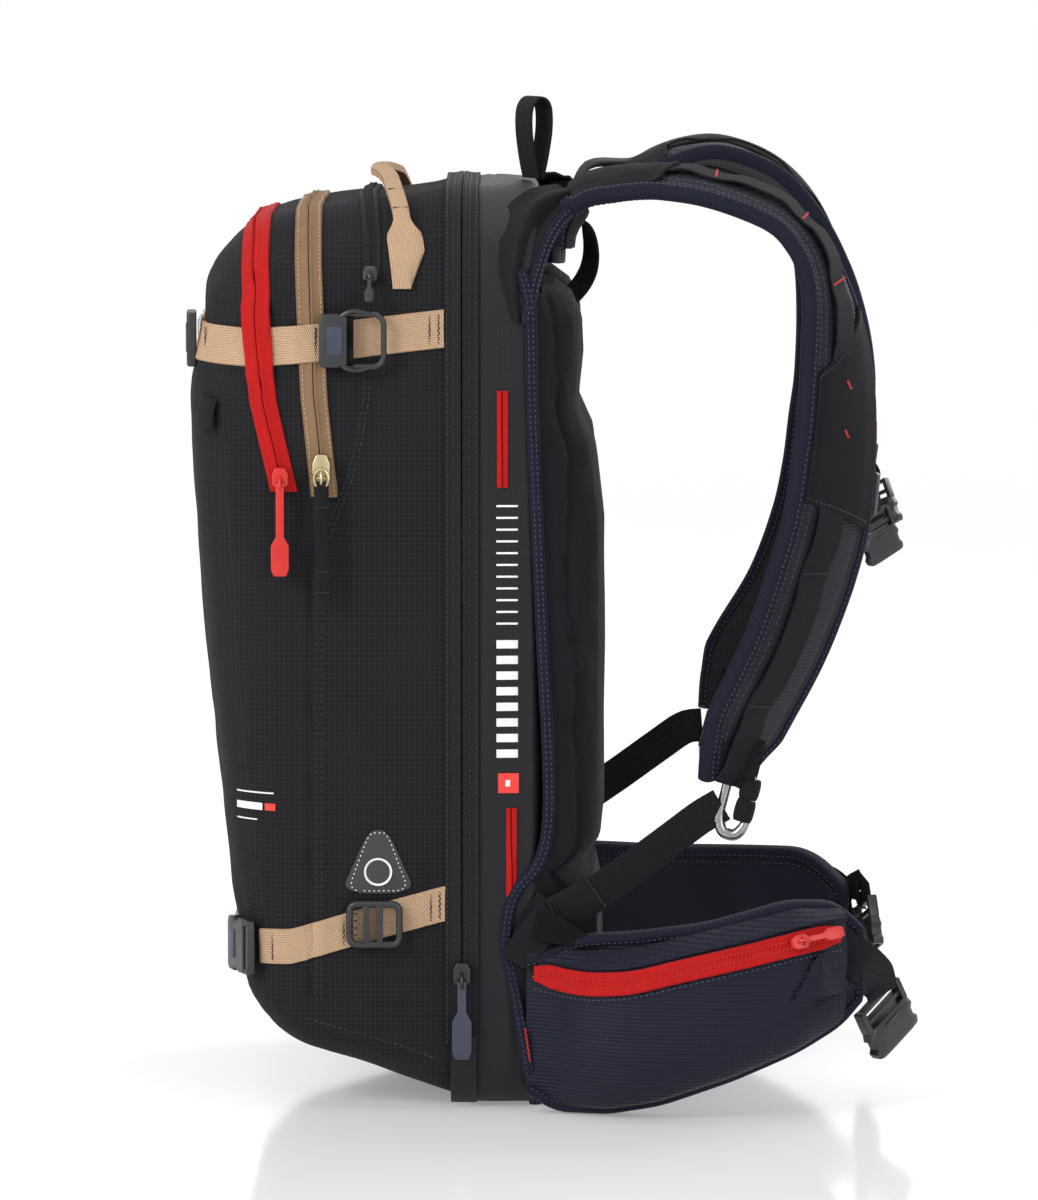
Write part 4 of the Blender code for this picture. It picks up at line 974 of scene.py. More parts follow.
def main_zip():
    """The perimeter zip: tapes either side of its plane, with coil teeth and stitch rows."""
    whole = perimeter(-0.0008, 0.0, 0.004)
    start = next(i for i, (x, z) in enumerate(whole) if z >= 0.034 and x > 0)
    outline = whole[start : len(whole) - start + 1]
    for name, body, y0, y1, edge in (
        ("main_zip_tape_front", FRONT, ZIP_Y - 0.0095, ZIP_Y - 0.0004, -1),
        ("main_zip_tape_back", BACK, ZIP_Y + 0.0004, ZIP_Y + 0.0095, 1),
    ):
        rings, strip = [], []
        reach = 0.0
        for i, (x, z) in enumerate(outline):
            before, after = outline[max(i - 1, 0)], outline[min(i + 1, len(outline) - 1)]
            run = Vector((after[0] - before[0], 0, after[1] - before[1])).normalized()
            normal = Vector((run.z, 0, -run.x))
            if i:
                reach += hypot(x - outline[i - 1][0], z - outline[i - 1][1])
            ring = []
            for share, rise in TAPE_SECTION:
                y = y0 + (y1 - y0) * share if edge < 0 else y1 - (y1 - y0) * share
                ring.append(Vector((x, y, z)) + normal * rise)
                strip.append((reach, y))
            rings.append(ring)
        piece = loft(name + "_knit", rings, "black_tape", body, strip=strip, angle=60)
        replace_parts(piece, name)
        coil, rows = [], []
        for x, z in outline:
            out = out_of_outline(x, z)
            coil.append((Vector((x, ZIP_Y + edge * 0.0014, z)) + out * 0.0019, out, AHEAD))
            rows.append([(Vector((x, ZIP_Y + edge * off, z)) + out * 0.0013, out)
                         for off in (0.0044, 0.0082)])
        teeth(name + "_coil", coil, "black_plastic", body, pitch=0.0018, reach=0.0016, size=(0.0015, 0.0009),
              drop=0.0004)
        runs = [[row[k] for row in rows] for k in (0, 1)]
        stitches(name + "_stitches", runs, "grey_thread", body, length=0.0022)


# ---------------------------------------------------------------- compression straps
def round_front_stations(start, end, z_of_angle, step):
    """Stations of a strap round the shell. Angles in degrees: 0 is the right side and 90 the front."""
    count = round((end - start) / step)
    stations = []
    for i in range(count + 1):
        a = radians(start + (end - start) * i / count)
        target = Vector((0, SHELL_MIDDLE_Y, z_of_angle(a)))
        stations.append((target, Vector((cos(a), -sin(a), 0)), Vector((0, 0, 1))))
    return stations


def bartack_at(line, index, width):
    """The row of one bartack across a strap at a place along its centre line."""
    point, normal, across = line[index]
    along = (line[min(index + 1, len(line) - 1)][0] - line[max(index - 1, 0)][0]).normalized()
    half = across * width * 0.40
    return point - half, point + half, along * 0.0012, normal


# Bartacks of each strap, as shares of its length.
LEFT_TACKS = (0.06, 0.13, 0.22, 0.40, 0.60)


def compression_straps(tree):
    """The tan webbing round the front, in a right and a left half, with its bartacks."""
    over_zips = raised(1, -0.122, -0.098, 0.0020)
    for name, knots, width, lift, right_end, left_start, right_tacks in (
        ("upper_strap", UPPER_STRAP, 0.0215, over_zips, 40.0, 48.0, (0.46, 0.68, 0.92)),
        ("lower_strap", LOWER_STRAP, 0.0200, close, 20.5, 28.5, (0.52, 0.90)),
    ):
        for side, start, end in (("right", -23.0, right_end), ("left", left_start, 203.0)):
            stations = round_front_stations(start, end, strap_height(knots), 1.0)
            piece, line = draped(f"{name}_{side}_web", tree, stations, width, 0.0016, "tan_web", FRONT, lift)
            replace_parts(piece, f"{name}_{side}")
            last = len(line) - 1
            if side == "right":
                spots = [round(share * last) for share in right_tacks] + [1, 3]
            else:
                spots = [last - 1, last - 3] + [round(share * last) for share in LEFT_TACKS]
            rows = [bartack_at(line, spot, width) for spot in spots]
            zigzag(f"{name}_{side}_tacks", rows, "black_thread", FRONT, 11, TACK)


# ---------------------------------------------------------------- camera, floor and light
PACK_MIDDLE = Vector((0.0, 0.004, 0.2745))
CAMERA_RISE = radians(6)
CAMERA_DISTANCE = 4.0
CAMERA_LENS = 207.3
AMBIENT = 0.42
LIT_POINT = Vector((0, 0, 0.27))
# Area lights: place, size and power.
LIGHTS = {
    "key": ((1.9, -1.9, 1.7), (1.0, 1.4), 44),
    "front_strip": ((0.9, -2.2, 0.5), (0.5, 1.4), 7),
    "fill": ((2.6, 1.6, 1.2), (1.2, 1.6), 20),
    "back": ((-1.4, 1.6, 1.3), (1.2, 1.2), 22),
    "overhead": ((0.0, 0.0, 2.3), (1.6, 1.6), 13),
}


def linked(name, data):
    """A new object in the scene."""
    made = bpy.data.objects.new(name, data)
    bpy.context.scene.collection.objects.link(made)
    return made


def looking_at(place, target):
    """The turn that points an object's -Z from place to target."""
    return (target - place).to_track_quat("-Z", "Y").to_euler()


def camera():
    """Level with the pack's right side, a little above it."""
    data = bpy.data.cameras.new("photo_camera")
    data.lens = CAMERA_LENS
    data.clip_end = 50
    made = linked("photo_camera", data)
    made.location = PACK_MIDDLE + Vector((cos(CAMERA_RISE), 0, sin(CAMERA_RISE))) * CAMERA_DISTANCE
    made.rotation_euler = looking_at(made.location, PACK_MIDDLE)
    bpy.context.scene.camera = made


def floor():
    """A pale floor with a faint mirror of the pack."""
    mesh = bpy.data.meshes.new("studio_floor")
    mesh.from_pydata([(-6, -6, 0), (6, -6, 0), (6, 6, 0), (-6, 6, 0)], [], [(0, 1, 2, 3)])
    g = Graph("white_floor")
    mesh.materials.append(g.finish((0.80, 0.80, 0.80), 0.10, normal=g.bump(g.grain(0.4, 1.0), 0.0002),
                                   Specular_IOR_Level=0.5, Emission_Color=(0.95, 0.97, 1.0, 1.0),
                                   Emission_Strength=0.25))
    stage = linked("studio_floor", mesh)
    stage.location.z = -0.0006


def surroundings():
    """A white world to the camera and in mirrors, and a dimmer one for the light it gives."""
    world = bpy.data.worlds.new("studio")
    world.use_nodes = True
    tree = world.node_tree
    shown, lit = tree.nodes["Background"], tree.nodes.new("ShaderNodeBackground")
    for background, strength in ((shown, 1.0), (lit, AMBIENT)):
        background.inputs["Color"].default_value = (1, 1, 1, 1)
        background.inputs["Strength"].default_value = strength
    path, mix = tree.nodes.new("ShaderNodeLightPath"), tree.nodes.new("ShaderNodeMixShader")
    seen = tree.nodes.new("ShaderNodeMath")
    seen.operation = "MAXIMUM"
    for start, end in (
        (path.outputs["Is Camera Ray"], seen.inputs[0]), (path.outputs["Is Glossy Ray"], seen.inputs[1]),
        (seen.outputs[0], mix.inputs[0]), (lit.outputs[0], mix.inputs[1]), (shown.outputs[0], mix.inputs[2]),
        (mix.outputs[0], tree.nodes["World Output"].inputs["Surface"]),
    ):
        tree.links.new(start, end)
    bpy.context.scene.world = world


def lights():
    """Five area lights aimed at the pack."""
    for name, (place, (wide, tall), power) in LIGHTS.items():
        light = bpy.data.lights.new(name, "AREA")
        light.shape = "RECTANGLE"
        light.size = wide
        light.size_y = tall
        light.energy = power
        made = linked(name, light)
        made.location = place
        made.rotation_euler = looking_at(Vector(place), LIT_POINT)


def camera_and_light():
    """The photo's camera, floor, surroundings and light."""
    camera()
    floor()
    surroundings()
    lights()
    bpy.context.scene.view_settings.view_transform = "Standard"


# ---------------------------------------------------------------- shared soft-goods shapes
ROUND_PROFILE = ((-1, 0.5), (-0.88, 0.78), (-0.6, 0.95), (-0.2, 1.0), (0.2, 1.0), (0.6, 0.95), (0.88, 0.78),
                 (1, 0.5))


def bound_edge(name, points, across, width, thickness, body, rows, faces=(1,)):
    """A folded binding tape sewn over an edge, with its stitch rows at shares of half the width."""
    if isinstance(across, Vector):
        across = [across] * len(points)
    ribbon(name, points, across, width, thickness, "binding", body, ROUND_PROFILE)
    runs = []
    for share in rows:
        for face in faces:
            run = []
            for i, (point, along) in enumerate(zip(points, tangents(points))):
                side = (across[i] - along * across[i].dot(along)).normalized()
                normal = side.cross(along).normalized() * face
                run.append((point + side * share * width / 2 + normal * thickness * 0.49, normal))
            runs.append(run)
    stitches(name + "_stitches", runs, "navy_thread", body, length=0.0019, gap=0.0013)


def facing(rows, way):
    """The rows of a sheet in the order that makes it face way."""
    normal = (rows[0][1] - rows[0][0]).cross(rows[1][0] - rows[0][0])
    return rows[::-1] if normal.dot(way) < 0 else rows


def patch(name, rows, thickness, look, body):
    """A thin closed sheet through rows of points, thickened away from the side its normals face."""
    per = len(rows[0])
    points = [p for row in rows for p in row]
    normals = []
    for i, row in enumerate(rows):
        for j, p in enumerate(row):
            u = row[min(j + 1, per - 1)] - row[max(j - 1, 0)]
            v = rows[min(i + 1, len(rows) - 1)][j] - rows[max(i - 1, 0)][j]
            n = u.cross(v)
            normals.append(n.normalized() if n.length > 1e-12 else UP)
    below = [p - n * thickness for p, n in zip(points, normals)]
    total = len(points)
    faces = loft_faces(len(rows) - 1, per, wrap=False)
    faces += [tuple(total + k for k in reversed(face)) for face in faces]
    rim = [(0, j) for j in range(per)] + [(i, per - 1) for i in range(1, len(rows))]
    rim += [(len(rows) - 1, j) for j in range(per - 2, -1, -1)]
    rim += [(i, 0) for i in range(len(rows) - 2, 0, -1)]
    ids = [i * per + j for i, j in rim]
    for a, b in zip(ids, ids[1:] + ids[:1]):
        faces.append((a, b, total + b, total + a))
    return add_piece(name, points + below, faces, look, body, angle=50)


def refined(name, look, bevel):
    """A hard CAD part again with rounded edges and its finished material."""
    source = NODES[name]
    mesh = source.data.copy()
    bm = bmesh.new()
    bm.from_mesh(mesh)
    bmesh.ops.remove_doubles(bm, verts=bm.verts, dist=1e-6)
    bmesh.ops.dissolve_limit(bm, angle_limit=radians(1), verts=bm.verts, edges=bm.edges)
    sharp = [e for e in bm.edges if len(e.link_faces) == 2 and e.calc_face_angle() > radians(35)]
    bmesh.ops.bevel(bm, geom=sharp, offset=bevel, segments=2, profile=0.6, affect="EDGES", clamp_overlap=True)
    bmesh.ops.triangulate(bm, faces=[f for f in bm.faces if len(f.verts) > 4])
    bm.to_mesh(mesh)
    bm.free()
    mesh.name = name + "_moulded"
    mesh.materials.clear()
    mesh.materials.append(LOOKS[look])
    mesh.shade_smooth()
    mesh.set_sharp_from_angle(angle=radians(40))
    piece = bpy.data.objects.new(name + "_moulded", mesh)
    bpy.context.scene.collection.objects.link(piece)
    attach(piece, name)
    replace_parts(piece, name)


# ---------------------------------------------------------------- piping, cushions and yokes
def half_width_at(z):
    """Half the body's width at a height."""
    if z < BASE_RADIUS:
        return HALF_WIDTH - BASE_RADIUS + sqrt(max(BASE_RADIUS**2 - (BASE_RADIUS - z) ** 2, 0.0))
    top = z - (HEIGHT - TOP_RADIUS)
    if top > 0:
        return HALF_WIDTH - TOP_RADIUS + sqrt(max(TOP_RADIUS**2 - top**2, 0.0))
    return HALF_WIDTH


def edge_piping():
    """The binding that runs round the back panel's edge."""
    for side, word in SIDES:
        knots = []
        for z, y in PIPING:
            low = smooth(0.075 - z, 0.0, 0.030)
            knots.append((side * (half_width_at(z) + 0.0012 + 0.0066 * low), y + 0.002 * low, z))
        points = resampled(smooth_path(knots, 6), 0.005)
        bound_edge(f"piping_{word}", points, AHEAD, 0.0072, 0.0055, BACK, rows=(-0.35, 0.4), faces=(1, -1))


# How far the back padding stands out, by height.
PAD_FACE = ((0.134, 0.024), (0.140, 0.0440), (0.150, 0.0505), (0.170, 0.0525), (0.330, 0.0525),
            (0.372, 0.0475), (0.392, 0.0385), (0.405, 0.0385), (0.425, 0.0405), (0.445, 0.0395),
            (0.457, 0.0340), (0.464, 0.0240))
LUMBAR_FACE = ((0.014, 0.026), (0.020, 0.0440), (0.032, 0.0495), (0.060, 0.0520), (0.110, 0.0520),
               (0.126, 0.0480), (0.132, 0.030))


def cushion(name, node, x0, x1, flare0, flare1, heights, faces_by_z):
    """A crowned pad on the back wall. Its outer flanks flare out to the piping."""
    back = BACK_WALL_Y + 0.0006
    low, high = heights
    count = round((high - low) / 0.0035)
    across = 40
    rings = []
    for i in range(count + 1):
        z = low + (high - low) * i / count
        depth = between(z, faces_by_z) - back
        ring = []
        for j in range(across + 1):
            s = j / across * 2 - 1
            t = max(0.0, 1 - abs(s) ** 5) ** (1 / 2.4)
            y = back + depth * t
            x = x0 + (x1 - x0) * (s + 1) / 2
            turn, out = (1, flare1) if s > 0 else (-1, flare0)
            x += turn * out * (1 - t) ** 0.8
            flank = smooth(abs(s), 0.72, 0.90)
            p = Vector((x, y, z))
            crease = 0.0016 * fold((x, y * 0.6, z * 0.55), 0.026, 13.0)
            crease += 0.0009 * fold((x, y, z), 0.011, 17.0)
            wide = 0.0008 * fold((x, y, z), 0.040, 19.0)
            channel = 0.0018 * bell((x - (x0 + x1) / 2) / (x1 - x0) * 2, 0.05) * (1 - flank)
            gather = 1.7 if out > 0.01 else 0.4
            push = (crease * flank * gather + wide * (1 - flank) - channel) * smooth(t, 0.0, 0.3)
            direction = Vector((flank * turn, 1 - flank * 0.5, 0)).normalized()
            ring.append(p + direction * push)
        rings.append(ring)
    flat = 8
    for ring in rings:
        a, b = ring[-1], ring[0]
        ring += [Vector((a.x + (b.x - a.x) * k / flat, back, a.z)) for k in range(1, flat)]
    piece = two_tone(name, rings, ("pad_mesh", "pad_cloth"), BACK,
                     lambda i, j: abs((j + 0.5) / across * 2 - 1) >= 0.80, (1, 1))
    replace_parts(piece, node)


def back_padding():
    """Two back pads and the lumbar pad."""
    cushion("back_cushion_right", "back_pad_right", 0.0150, 0.110, 0.0, 0.019, (0.1345, 0.464), PAD_FACE)
    cushion("back_cushion_left", "back_pad_left", -0.110, -0.0150, 0.019, 0.0, (0.1345, 0.464), PAD_FACE)
    cushion("lumbar_cushion", "lumbar_pad", -0.106, 0.106, 0.020, 0.020, (0.014, 0.1325), LUMBAR_FACE)


GUSSET_FOOT, GUSSET_LENGTH = 0.022, 0.438


def back_gusset():
    """The loose cloth between the piping and the back padding, on both sides."""
    for side, word in SIDES:
        rows = []
        count = 90
        for i in range(count + 1):
            z = GUSSET_FOOT + GUSSET_LENGTH * i / count
            start = Vector((side * (half_width_at(z) - 0.0005), between(z, PIPING) + 0.001, z))
            depth = between(z, PAD_FACE) if z > 0.134 else between(z, LUMBAR_FACE)
            end = Vector((side * 0.1125, max(depth - 0.004, start.y + 0.005), z))
            row = []
            for t in shares(14):
                p = start.lerp(end, t)
                belly = sin(pi * t) ** 0.8
                billow = 0.0045 * belly * (1 + 0.8 * fold((0, t * 0.03, z * 0.6), 0.030, 23.0))
                wing = smooth(0.115 - z, 0.0, 0.020)
                crease = 0.0026 * belly * fold((0, t * 0.05 + z * 0.35, z), 0.016, 29.0)
                crease -= 0.0032 * bell(t - 0.45 - 0.22 * fold((0, z, 0.3), 0.09, 97.0), 0.07) * belly
                out = Vector((side * 0.75, 0.55, 0)).normalized()
                row.append(p + out * (billow + crease) * (1 - 0.9 * wing))
            rows.append(row if side > 0 else row[::-1])
        piece = patch(f"back_gusset_{word}", rows, 0.0009, "pad_cloth", BACK)


YOKE_FRONT = ((0.080, 0.0250, 0.5190), (0.094, 0.0100, 0.5165), (0.1055, -0.0030, 0.5065),
              (0.1225, -0.0068, 0.4900), (0.1310, -0.0068, 0.4760), (0.1350, -0.0052, 0.4640),
              (0.1372, 0.0010, 0.4440))
YOKE_REAR = ((0.093, 0.0420, 0.5100), (0.1010, 0.0340, 0.5050), (0.1090, 0.0265, 0.4980),
             (0.1190, 0.0200, 0.4880), (0.1270, 0.0155, 0.4760), (0.1330, 0.0120, 0.4640),
             (0.1380, 0.0085, 0.4430))


def yokes():
    """The black pad cloth that joins each shoulder strap to the pack's side, gathered in folds, with a navy
    binding along its rear edge.
    """
    for side, word in SIDES:
        front, rear = smooth_path(YOKE_FRONT, 8), smooth_path(YOKE_REAR, 8)
        rows = []
        for i, (a, b) in enumerate(zip(front, rear)):
            u = i / (len(front) - 1)
            row = []
            for t in shares(20):
                p = a.lerp(b, t)
                belly = sin(pi * t) * sin(pi * min(u * 1.05 + 0.06, 1)) ** 0.6
                ridge = bell(t - (0.50 - 0.18 * u), 0.13) * 0.0055
                ridge -= bell(t - (0.74 - 0.16 * u), 0.08) * 0.0035
                fine = 0.0012 * fold((t * 0.03, u * 0.02, 0), 0.008, 31.0)
                out = Vector((0.80, -0.10 + 0.35 * t, 0.45 * (1 - u)))
                push = 0.0035 * belly + ridge * sin(pi * t) + fine
                push *= 0.25 + 0.75 * sin(pi * min(u + 0.1, 1))
                q = p + out.normalized() * push
                row.append(mirrored(q, side))
            rows.append(row[::-1] if side > 0 else row)
        piece = patch(f"yoke_{word}", rows, 0.0014, "pad_cloth", BACK)
        edge = [mirrored(p, side) for p in rear]
        bound_edge(f"yoke_binding_{word}", edge, Vector((side * 0.45, -0.7, 0.45)), 0.0075, 0.0045, BACK,
                   rows=(-0.4, 0.4))


# ---------------------------------------------------------------- shoulder straps
RIGHT_STRAP = (
    (0.070, 0.0235, 0.4750), (0.070, 0.0265, 0.4950), (0.072, 0.0390, 0.5125), (0.076, 0.0610, 0.5190),
    (0.082, 0.0880, 0.5205), (0.090, 0.1180, 0.5165), (0.099, 0.1500, 0.5040), (0.106, 0.1680, 0.4860),
    (0.112, 0.1775, 0.4630), (0.116, 0.1815, 0.4340), (0.120, 0.1825, 0.3990), (0.124, 0.1805, 0.3660),
    (0.127, 0.1765, 0.3330), (0.129, 0.1675, 0.3000), (0.131, 0.1535, 0.2620), (0.132, 0.1360, 0.2270),
    (0.132, 0.1250, 0.2050), (0.132, 0.1175, 0.1860),
)
STRAP_TURN = (0, 0, 0, 0, 0, 3, 6, 9, 13, 20, 27, 32, 35, 36, 34, 32, 30, 30)
STRAP_END = len(STRAP_TURN) - 1
LEFT_LIFT = 0.005
EXTRA_TURN = 11             # degrees that the cloth is rolled further than its CAD solid
FINE = 8                    # stations of a strap between two of its knots
WEB_SHARE = 0.22
DROOP = ((0.0, 0.0), (1.5, 0.002), (3.0, 0.005), (5.0, 0.006), (7.0, 0.005), (9.0, 0.002), (10.5, 0.0))
# Rise of the left strap over the right one, by knot.
LEFT_ARCH = ((0, 0.0), (1, -0.004), (2, -0.009), (3, -0.009), (3.7, -0.001), (4.7, 0.0115), (5.5, 0.0150),
             (6.3, 0.0130), (7, 0.009), (8, 0.004), (9, 0.0))


class Strap:
    """A padded shoulder strap's own space: station, share of the half width, height off the face."""

    def __init__(self, side):
        knots = []
        for i, (x, y, z) in enumerate(RIGHT_STRAP):
            pulled = arch = forward = 0.0
            if side < 0:
                pulled = LEFT_LIFT * max(0, i - 9) / 7
                arch = between(i, LEFT_ARCH)
                forward = 0.010 * sin(pi * min(max(i - 6, 0) / 9, 1)) + 0.009 * smooth(i, 11, 14)
            knots.append((side * x, y + forward - 0.3 * pulled, z + pulled + arch))
        self.side = side
        self.points = smooth_path(knots, FINE)
        self.along = tangents(self.points)
        self.across, self.normals = [], []
        for i, along in enumerate(self.along):
            turn = radians(between(i / FINE, [(j, t) for j, t in enumerate(STRAP_TURN)]))
            turn += radians(EXTRA_TURN) * smooth(i / FINE, 6.5, 10.0)
            flat = Vector((side, 0, 0))
            flat = (flat - along * flat.dot(along)).normalized()
            lift = along.cross(flat).normalized()
            if lift.y + lift.z < 0:
                lift = -lift
            across = (flat * cos(turn) - lift * sin(turn)).normalized()
            normal = along.cross(across).normalized()
            if normal.y + normal.z < 0:
                normal = -normal
            self.across.append(across)
            self.normals.append(normal)

    def half(self, i):
        left = (len(self.points) - 1 - i) / FINE * 2
        return STRAP_WIDTH / 2 * min(1.0, 0.46 + 0.17 * left)

    def face(self, share, top=True):
        """Height of the strap's face over its middle."""
        rim = max(0.0, 1 - abs(share) ** 4) ** 0.5
        if not top:
            return -0.0048 * rim
        crown = 0.0016 * max(0.0, 1 - (share / 0.72) ** 2)
        groove = 0.0012 * bell(abs(share) - 0.74, 0.04)
        return 0.0050 * rim + crown - groove

    def at(self, i, share, height):
        drop = between(i / FINE, DROOP) * max(0.0, share - 0.05) ** 1.6
        return (self.points[i] + self.across[i] * self.half(i) * share * (1 - 6.0 * drop)
                + self.normals[i] * (height - drop))

    def on_face(self, station, share, lift):
        """(point, normal, along, across) on the outer face at a station counted in knots."""
        at = station * FINE
        i = min(int(at), len(self.points) - 2)
        a = self.at(i, share, self.face(share) + lift)
        b = self.at(i + 1, share, self.face(share) + lift)
        ahead = self.at(i + 1, min(share + 0.05, 1), self.face(share) + lift) - b
        side = ahead.normalized() if ahead.length > 1e-9 else self.across[i]
        run = (b - a).normalized()
        normal = run.cross(side).normalized()
        if normal.dot(self.normals[i]) < 0:
            normal = -normal
        return a.lerp(b, at - i), normal, run, side


def strap_pad(strap, word):
    """The padded strap: ribbed cloth outside and mesh towards the wearer."""
    across = 26
    rings = []
    for i in range(len(strap.points)):
        ring = []
        for j in range(across + 1):
            share = -cos(pi * j / across)
            p = strap.at(i, share, strap.face(share))
            crease = 0.0006 * fold(p, 0.016, 37.0) + 0.0010 * bell(i / FINE - 4, 3) * fold(p, 0.011, 41.0)
            ring.append(p + strap.normals[i] * crease * (1 - share**4))
        for j in range(1, across):
            share = cos(pi * j / across)
            ring.append(strap.at(i, share, strap.face(share, False)))
        rings.append(ring)
    piece = two_tone(f"strap_pad_{word}", rings, ("strap_ribs", "pad_mesh"), BACK, lambda i, j: j >= across)
    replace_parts(piece, f"shoulder_strap_{word}")


def strap_root(strap, word):
    """The smooth black cloth over the top of the strap, from the yoke to a turned edge."""
    rows = []
    for j in range(25):
        share = -0.97 + 1.90 * j / 24
        row = []
        foot = 3.95 + 0.50 * (0.5 - abs(share - 0.1) * 0.5)
        for k in range(41):
            station = 0.4 + (foot - 0.4) * k / 40
            p, n, _, _ = strap.on_face(station, share, 0.0022)
            wave = 0.0013 * fold((p.x, p.y * 0.5, p.z), 0.020, 71.0) + 0.0008 * fold(p, 0.009, 73.0)
            turned = 0.0016 * bell(station - foot, 0.10)
            row.append(p + n * ((wave + 0.0008) * (1 - share**6) + turned))
        rows.append(row)
    patch(f"strap_root_{word}", facing(rows, strap.normals[2 * FINE]), 0.0016, "pad_cloth", BACK)


def strap_run(strap, start, end, share, lift):
    """What on_face gives, between two stations. lift may be a function of the share of the way."""
    found = []
    count = round((end - start) * 8)
    for k in range(count + 1):
        station = start + (end - start) * k / count
        found.append(strap.on_face(station, share, lift(k / count) if callable(lift) else lift))
    return found


def strap_details(strap, word):
    strap_bindings(strap, word)
    daisy_chain(strap, word)
    strap_panel(strap, word)
    strap_end_panel(strap, word)


def strap_bindings(strap, word):
    """The tape round the strap's edges and the quilting beside it."""
    for share, width, tag in ((0.93, 0.0105, "inner"), (-0.95, 0.0075, "outer")):
        points, across = [], []
        for i in range(4, len(strap.points)):
            points.append(strap.at(i, share, 0.0))
            right, left = (1.0, 0.8) if share > 0 else (-0.8, -1.0)
            across.append(strap.at(i, right, 0) - strap.at(i, left, 0))
        bound_edge(f"strap_binding_{tag}_{word}", points, across, width, 0.0098 if share > 0 else 0.0090,
                   BACK, rows=(-0.55, 0.2) if share > 0 else (0.4,), faces=(1, -1))
    line = [(p, n) for p, n, _, _ in strap_run(strap, 2.5, STRAP_END - 0.4, 0.66, 0.0002)]
    other = [(p, n) for p, n, _, _ in strap_run(strap, 3.0, STRAP_END - 0.4, -0.72, 0.0002)]
    stitches(f"strap_quilting_{word}", [line, other], "navy_thread", BACK, length=0.0024, gap=0.0016)


HIGH_TACKS = (3.9, 4.9, 6.5, 8.0)
LOW_TACKS = (12.9, 14.9)


def daisy_chain(strap, word):
    """The black webbing along the strap's face, tacked down into loops."""
    for tag, start, end, marks in (
        ("upper", 3.9, 9.5, HIGH_TACKS), ("lower", 11.6, STRAP_END - 0.15, LOW_TACKS),
    ):
        def lift(t, a=start, b=end, m=marks):
            here = a + (b - a) * t
            nearest = min(abs(here - k) for k in m + (a, b))
            return 0.0008 + 0.0022 * smooth(nearest, 0.08, 0.45)

        run = strap_run(strap, start, end, WEB_SHARE, lift)
        ribbon(f"daisy_web_{tag}_{word}", [p for p, _, _, _ in run], [s for _, _, _, s in run], 0.0200,
               0.0016, "black_web", BACK)
    rows = []
    for mark in HIGH_TACKS[1:] + LOW_TACKS:
        p, n, along, side = strap.on_face(mark, WEB_SHARE, 0.0020)
        slant = along * 0.0022
        rows.append((p - side * 0.0098 - slant, p + side * 0.0098 + slant, along * 0.0013, n))
    zigzag(f"strap_tacks_{word}", rows[:3], "red_thread", BACK, 12, BOLD_TACK)
    zigzag(f"strap_tacks_low_{word}", rows[3:], "black_thread", BACK, 12, TACK)


def strap_panel(strap, word):
    """The stretch cloth over the strap's bend, with two red tacks and a row of stitches at each end."""
    panel = []
    for j in range(17):
        share = -0.90 + 1.76 * j / 16
        row = []
        top = 8.40 + 1.20 * ((share + 0.90) / 1.76) ** 0.9
        foot = 12.05 - 0.30 * (share + 0.90) / 1.76
        for k in range(33):
            p, n, _, _ = strap.on_face(top + (foot - top) * k / 32, share, 0.0026)
            row.append(p + n * 0.0004 * fold(p, 0.018, 43.0))
        panel.append(row)
    panel = facing(panel, strap.normals[10 * FINE])
    patch(f"strap_panel_{word}", panel, 0.0016, "stretch", BACK)
    marks = []
    for mark, long in ((9.75, 0.0058), (10.55, 0.0052)):
        p, n, along, side = strap.on_face(mark, 0.10, 0.0030)
        slope = (side * 0.8 - along * 0.9).normalized()
        marks.append((p - slope * long / 2, p + slope * long / 2, (side + along).normalized() * 0.0016, n))
    zigzag(f"strap_panel_tacks_{word}", marks, "red_thread", BACK, 9, (0.0011, 0.0008))
    rim = [row[1] for row in panel]
    foot = [row[-2] for row in panel]
    runs = [[(p + strap.normals[k] * 0.0003, strap.normals[k]) for p in line]
            for line, k in ((rim, 10 * FINE), (foot, 12 * FINE))]
    stitches(f"strap_panel_stitches_{word}", runs, "grey_thread", BACK)


def strap_end_panel(strap, word):
    """The black cloth over the strap's lower end."""
    _, n, _, _ = strap.on_face(STRAP_END - 0.8, 0.0, 0.0)
    end = []
    for i in range(13):
        station = STRAP_END - 1.1 + 1.1 * i / 12
        row = []
        for j in range(13):
            share = -0.92 + 1.84 * j / 12
            row.append(strap.on_face(min(station, STRAP_END - 0.01), share, 0.0010)[0])
        end.append(row)
    patch(f"strap_end_panel_{word}", facing(end, n), 0.0014, "pad_cloth", BACK)


LOWER_RAISE = {1: 0.0, -1: 0.020}


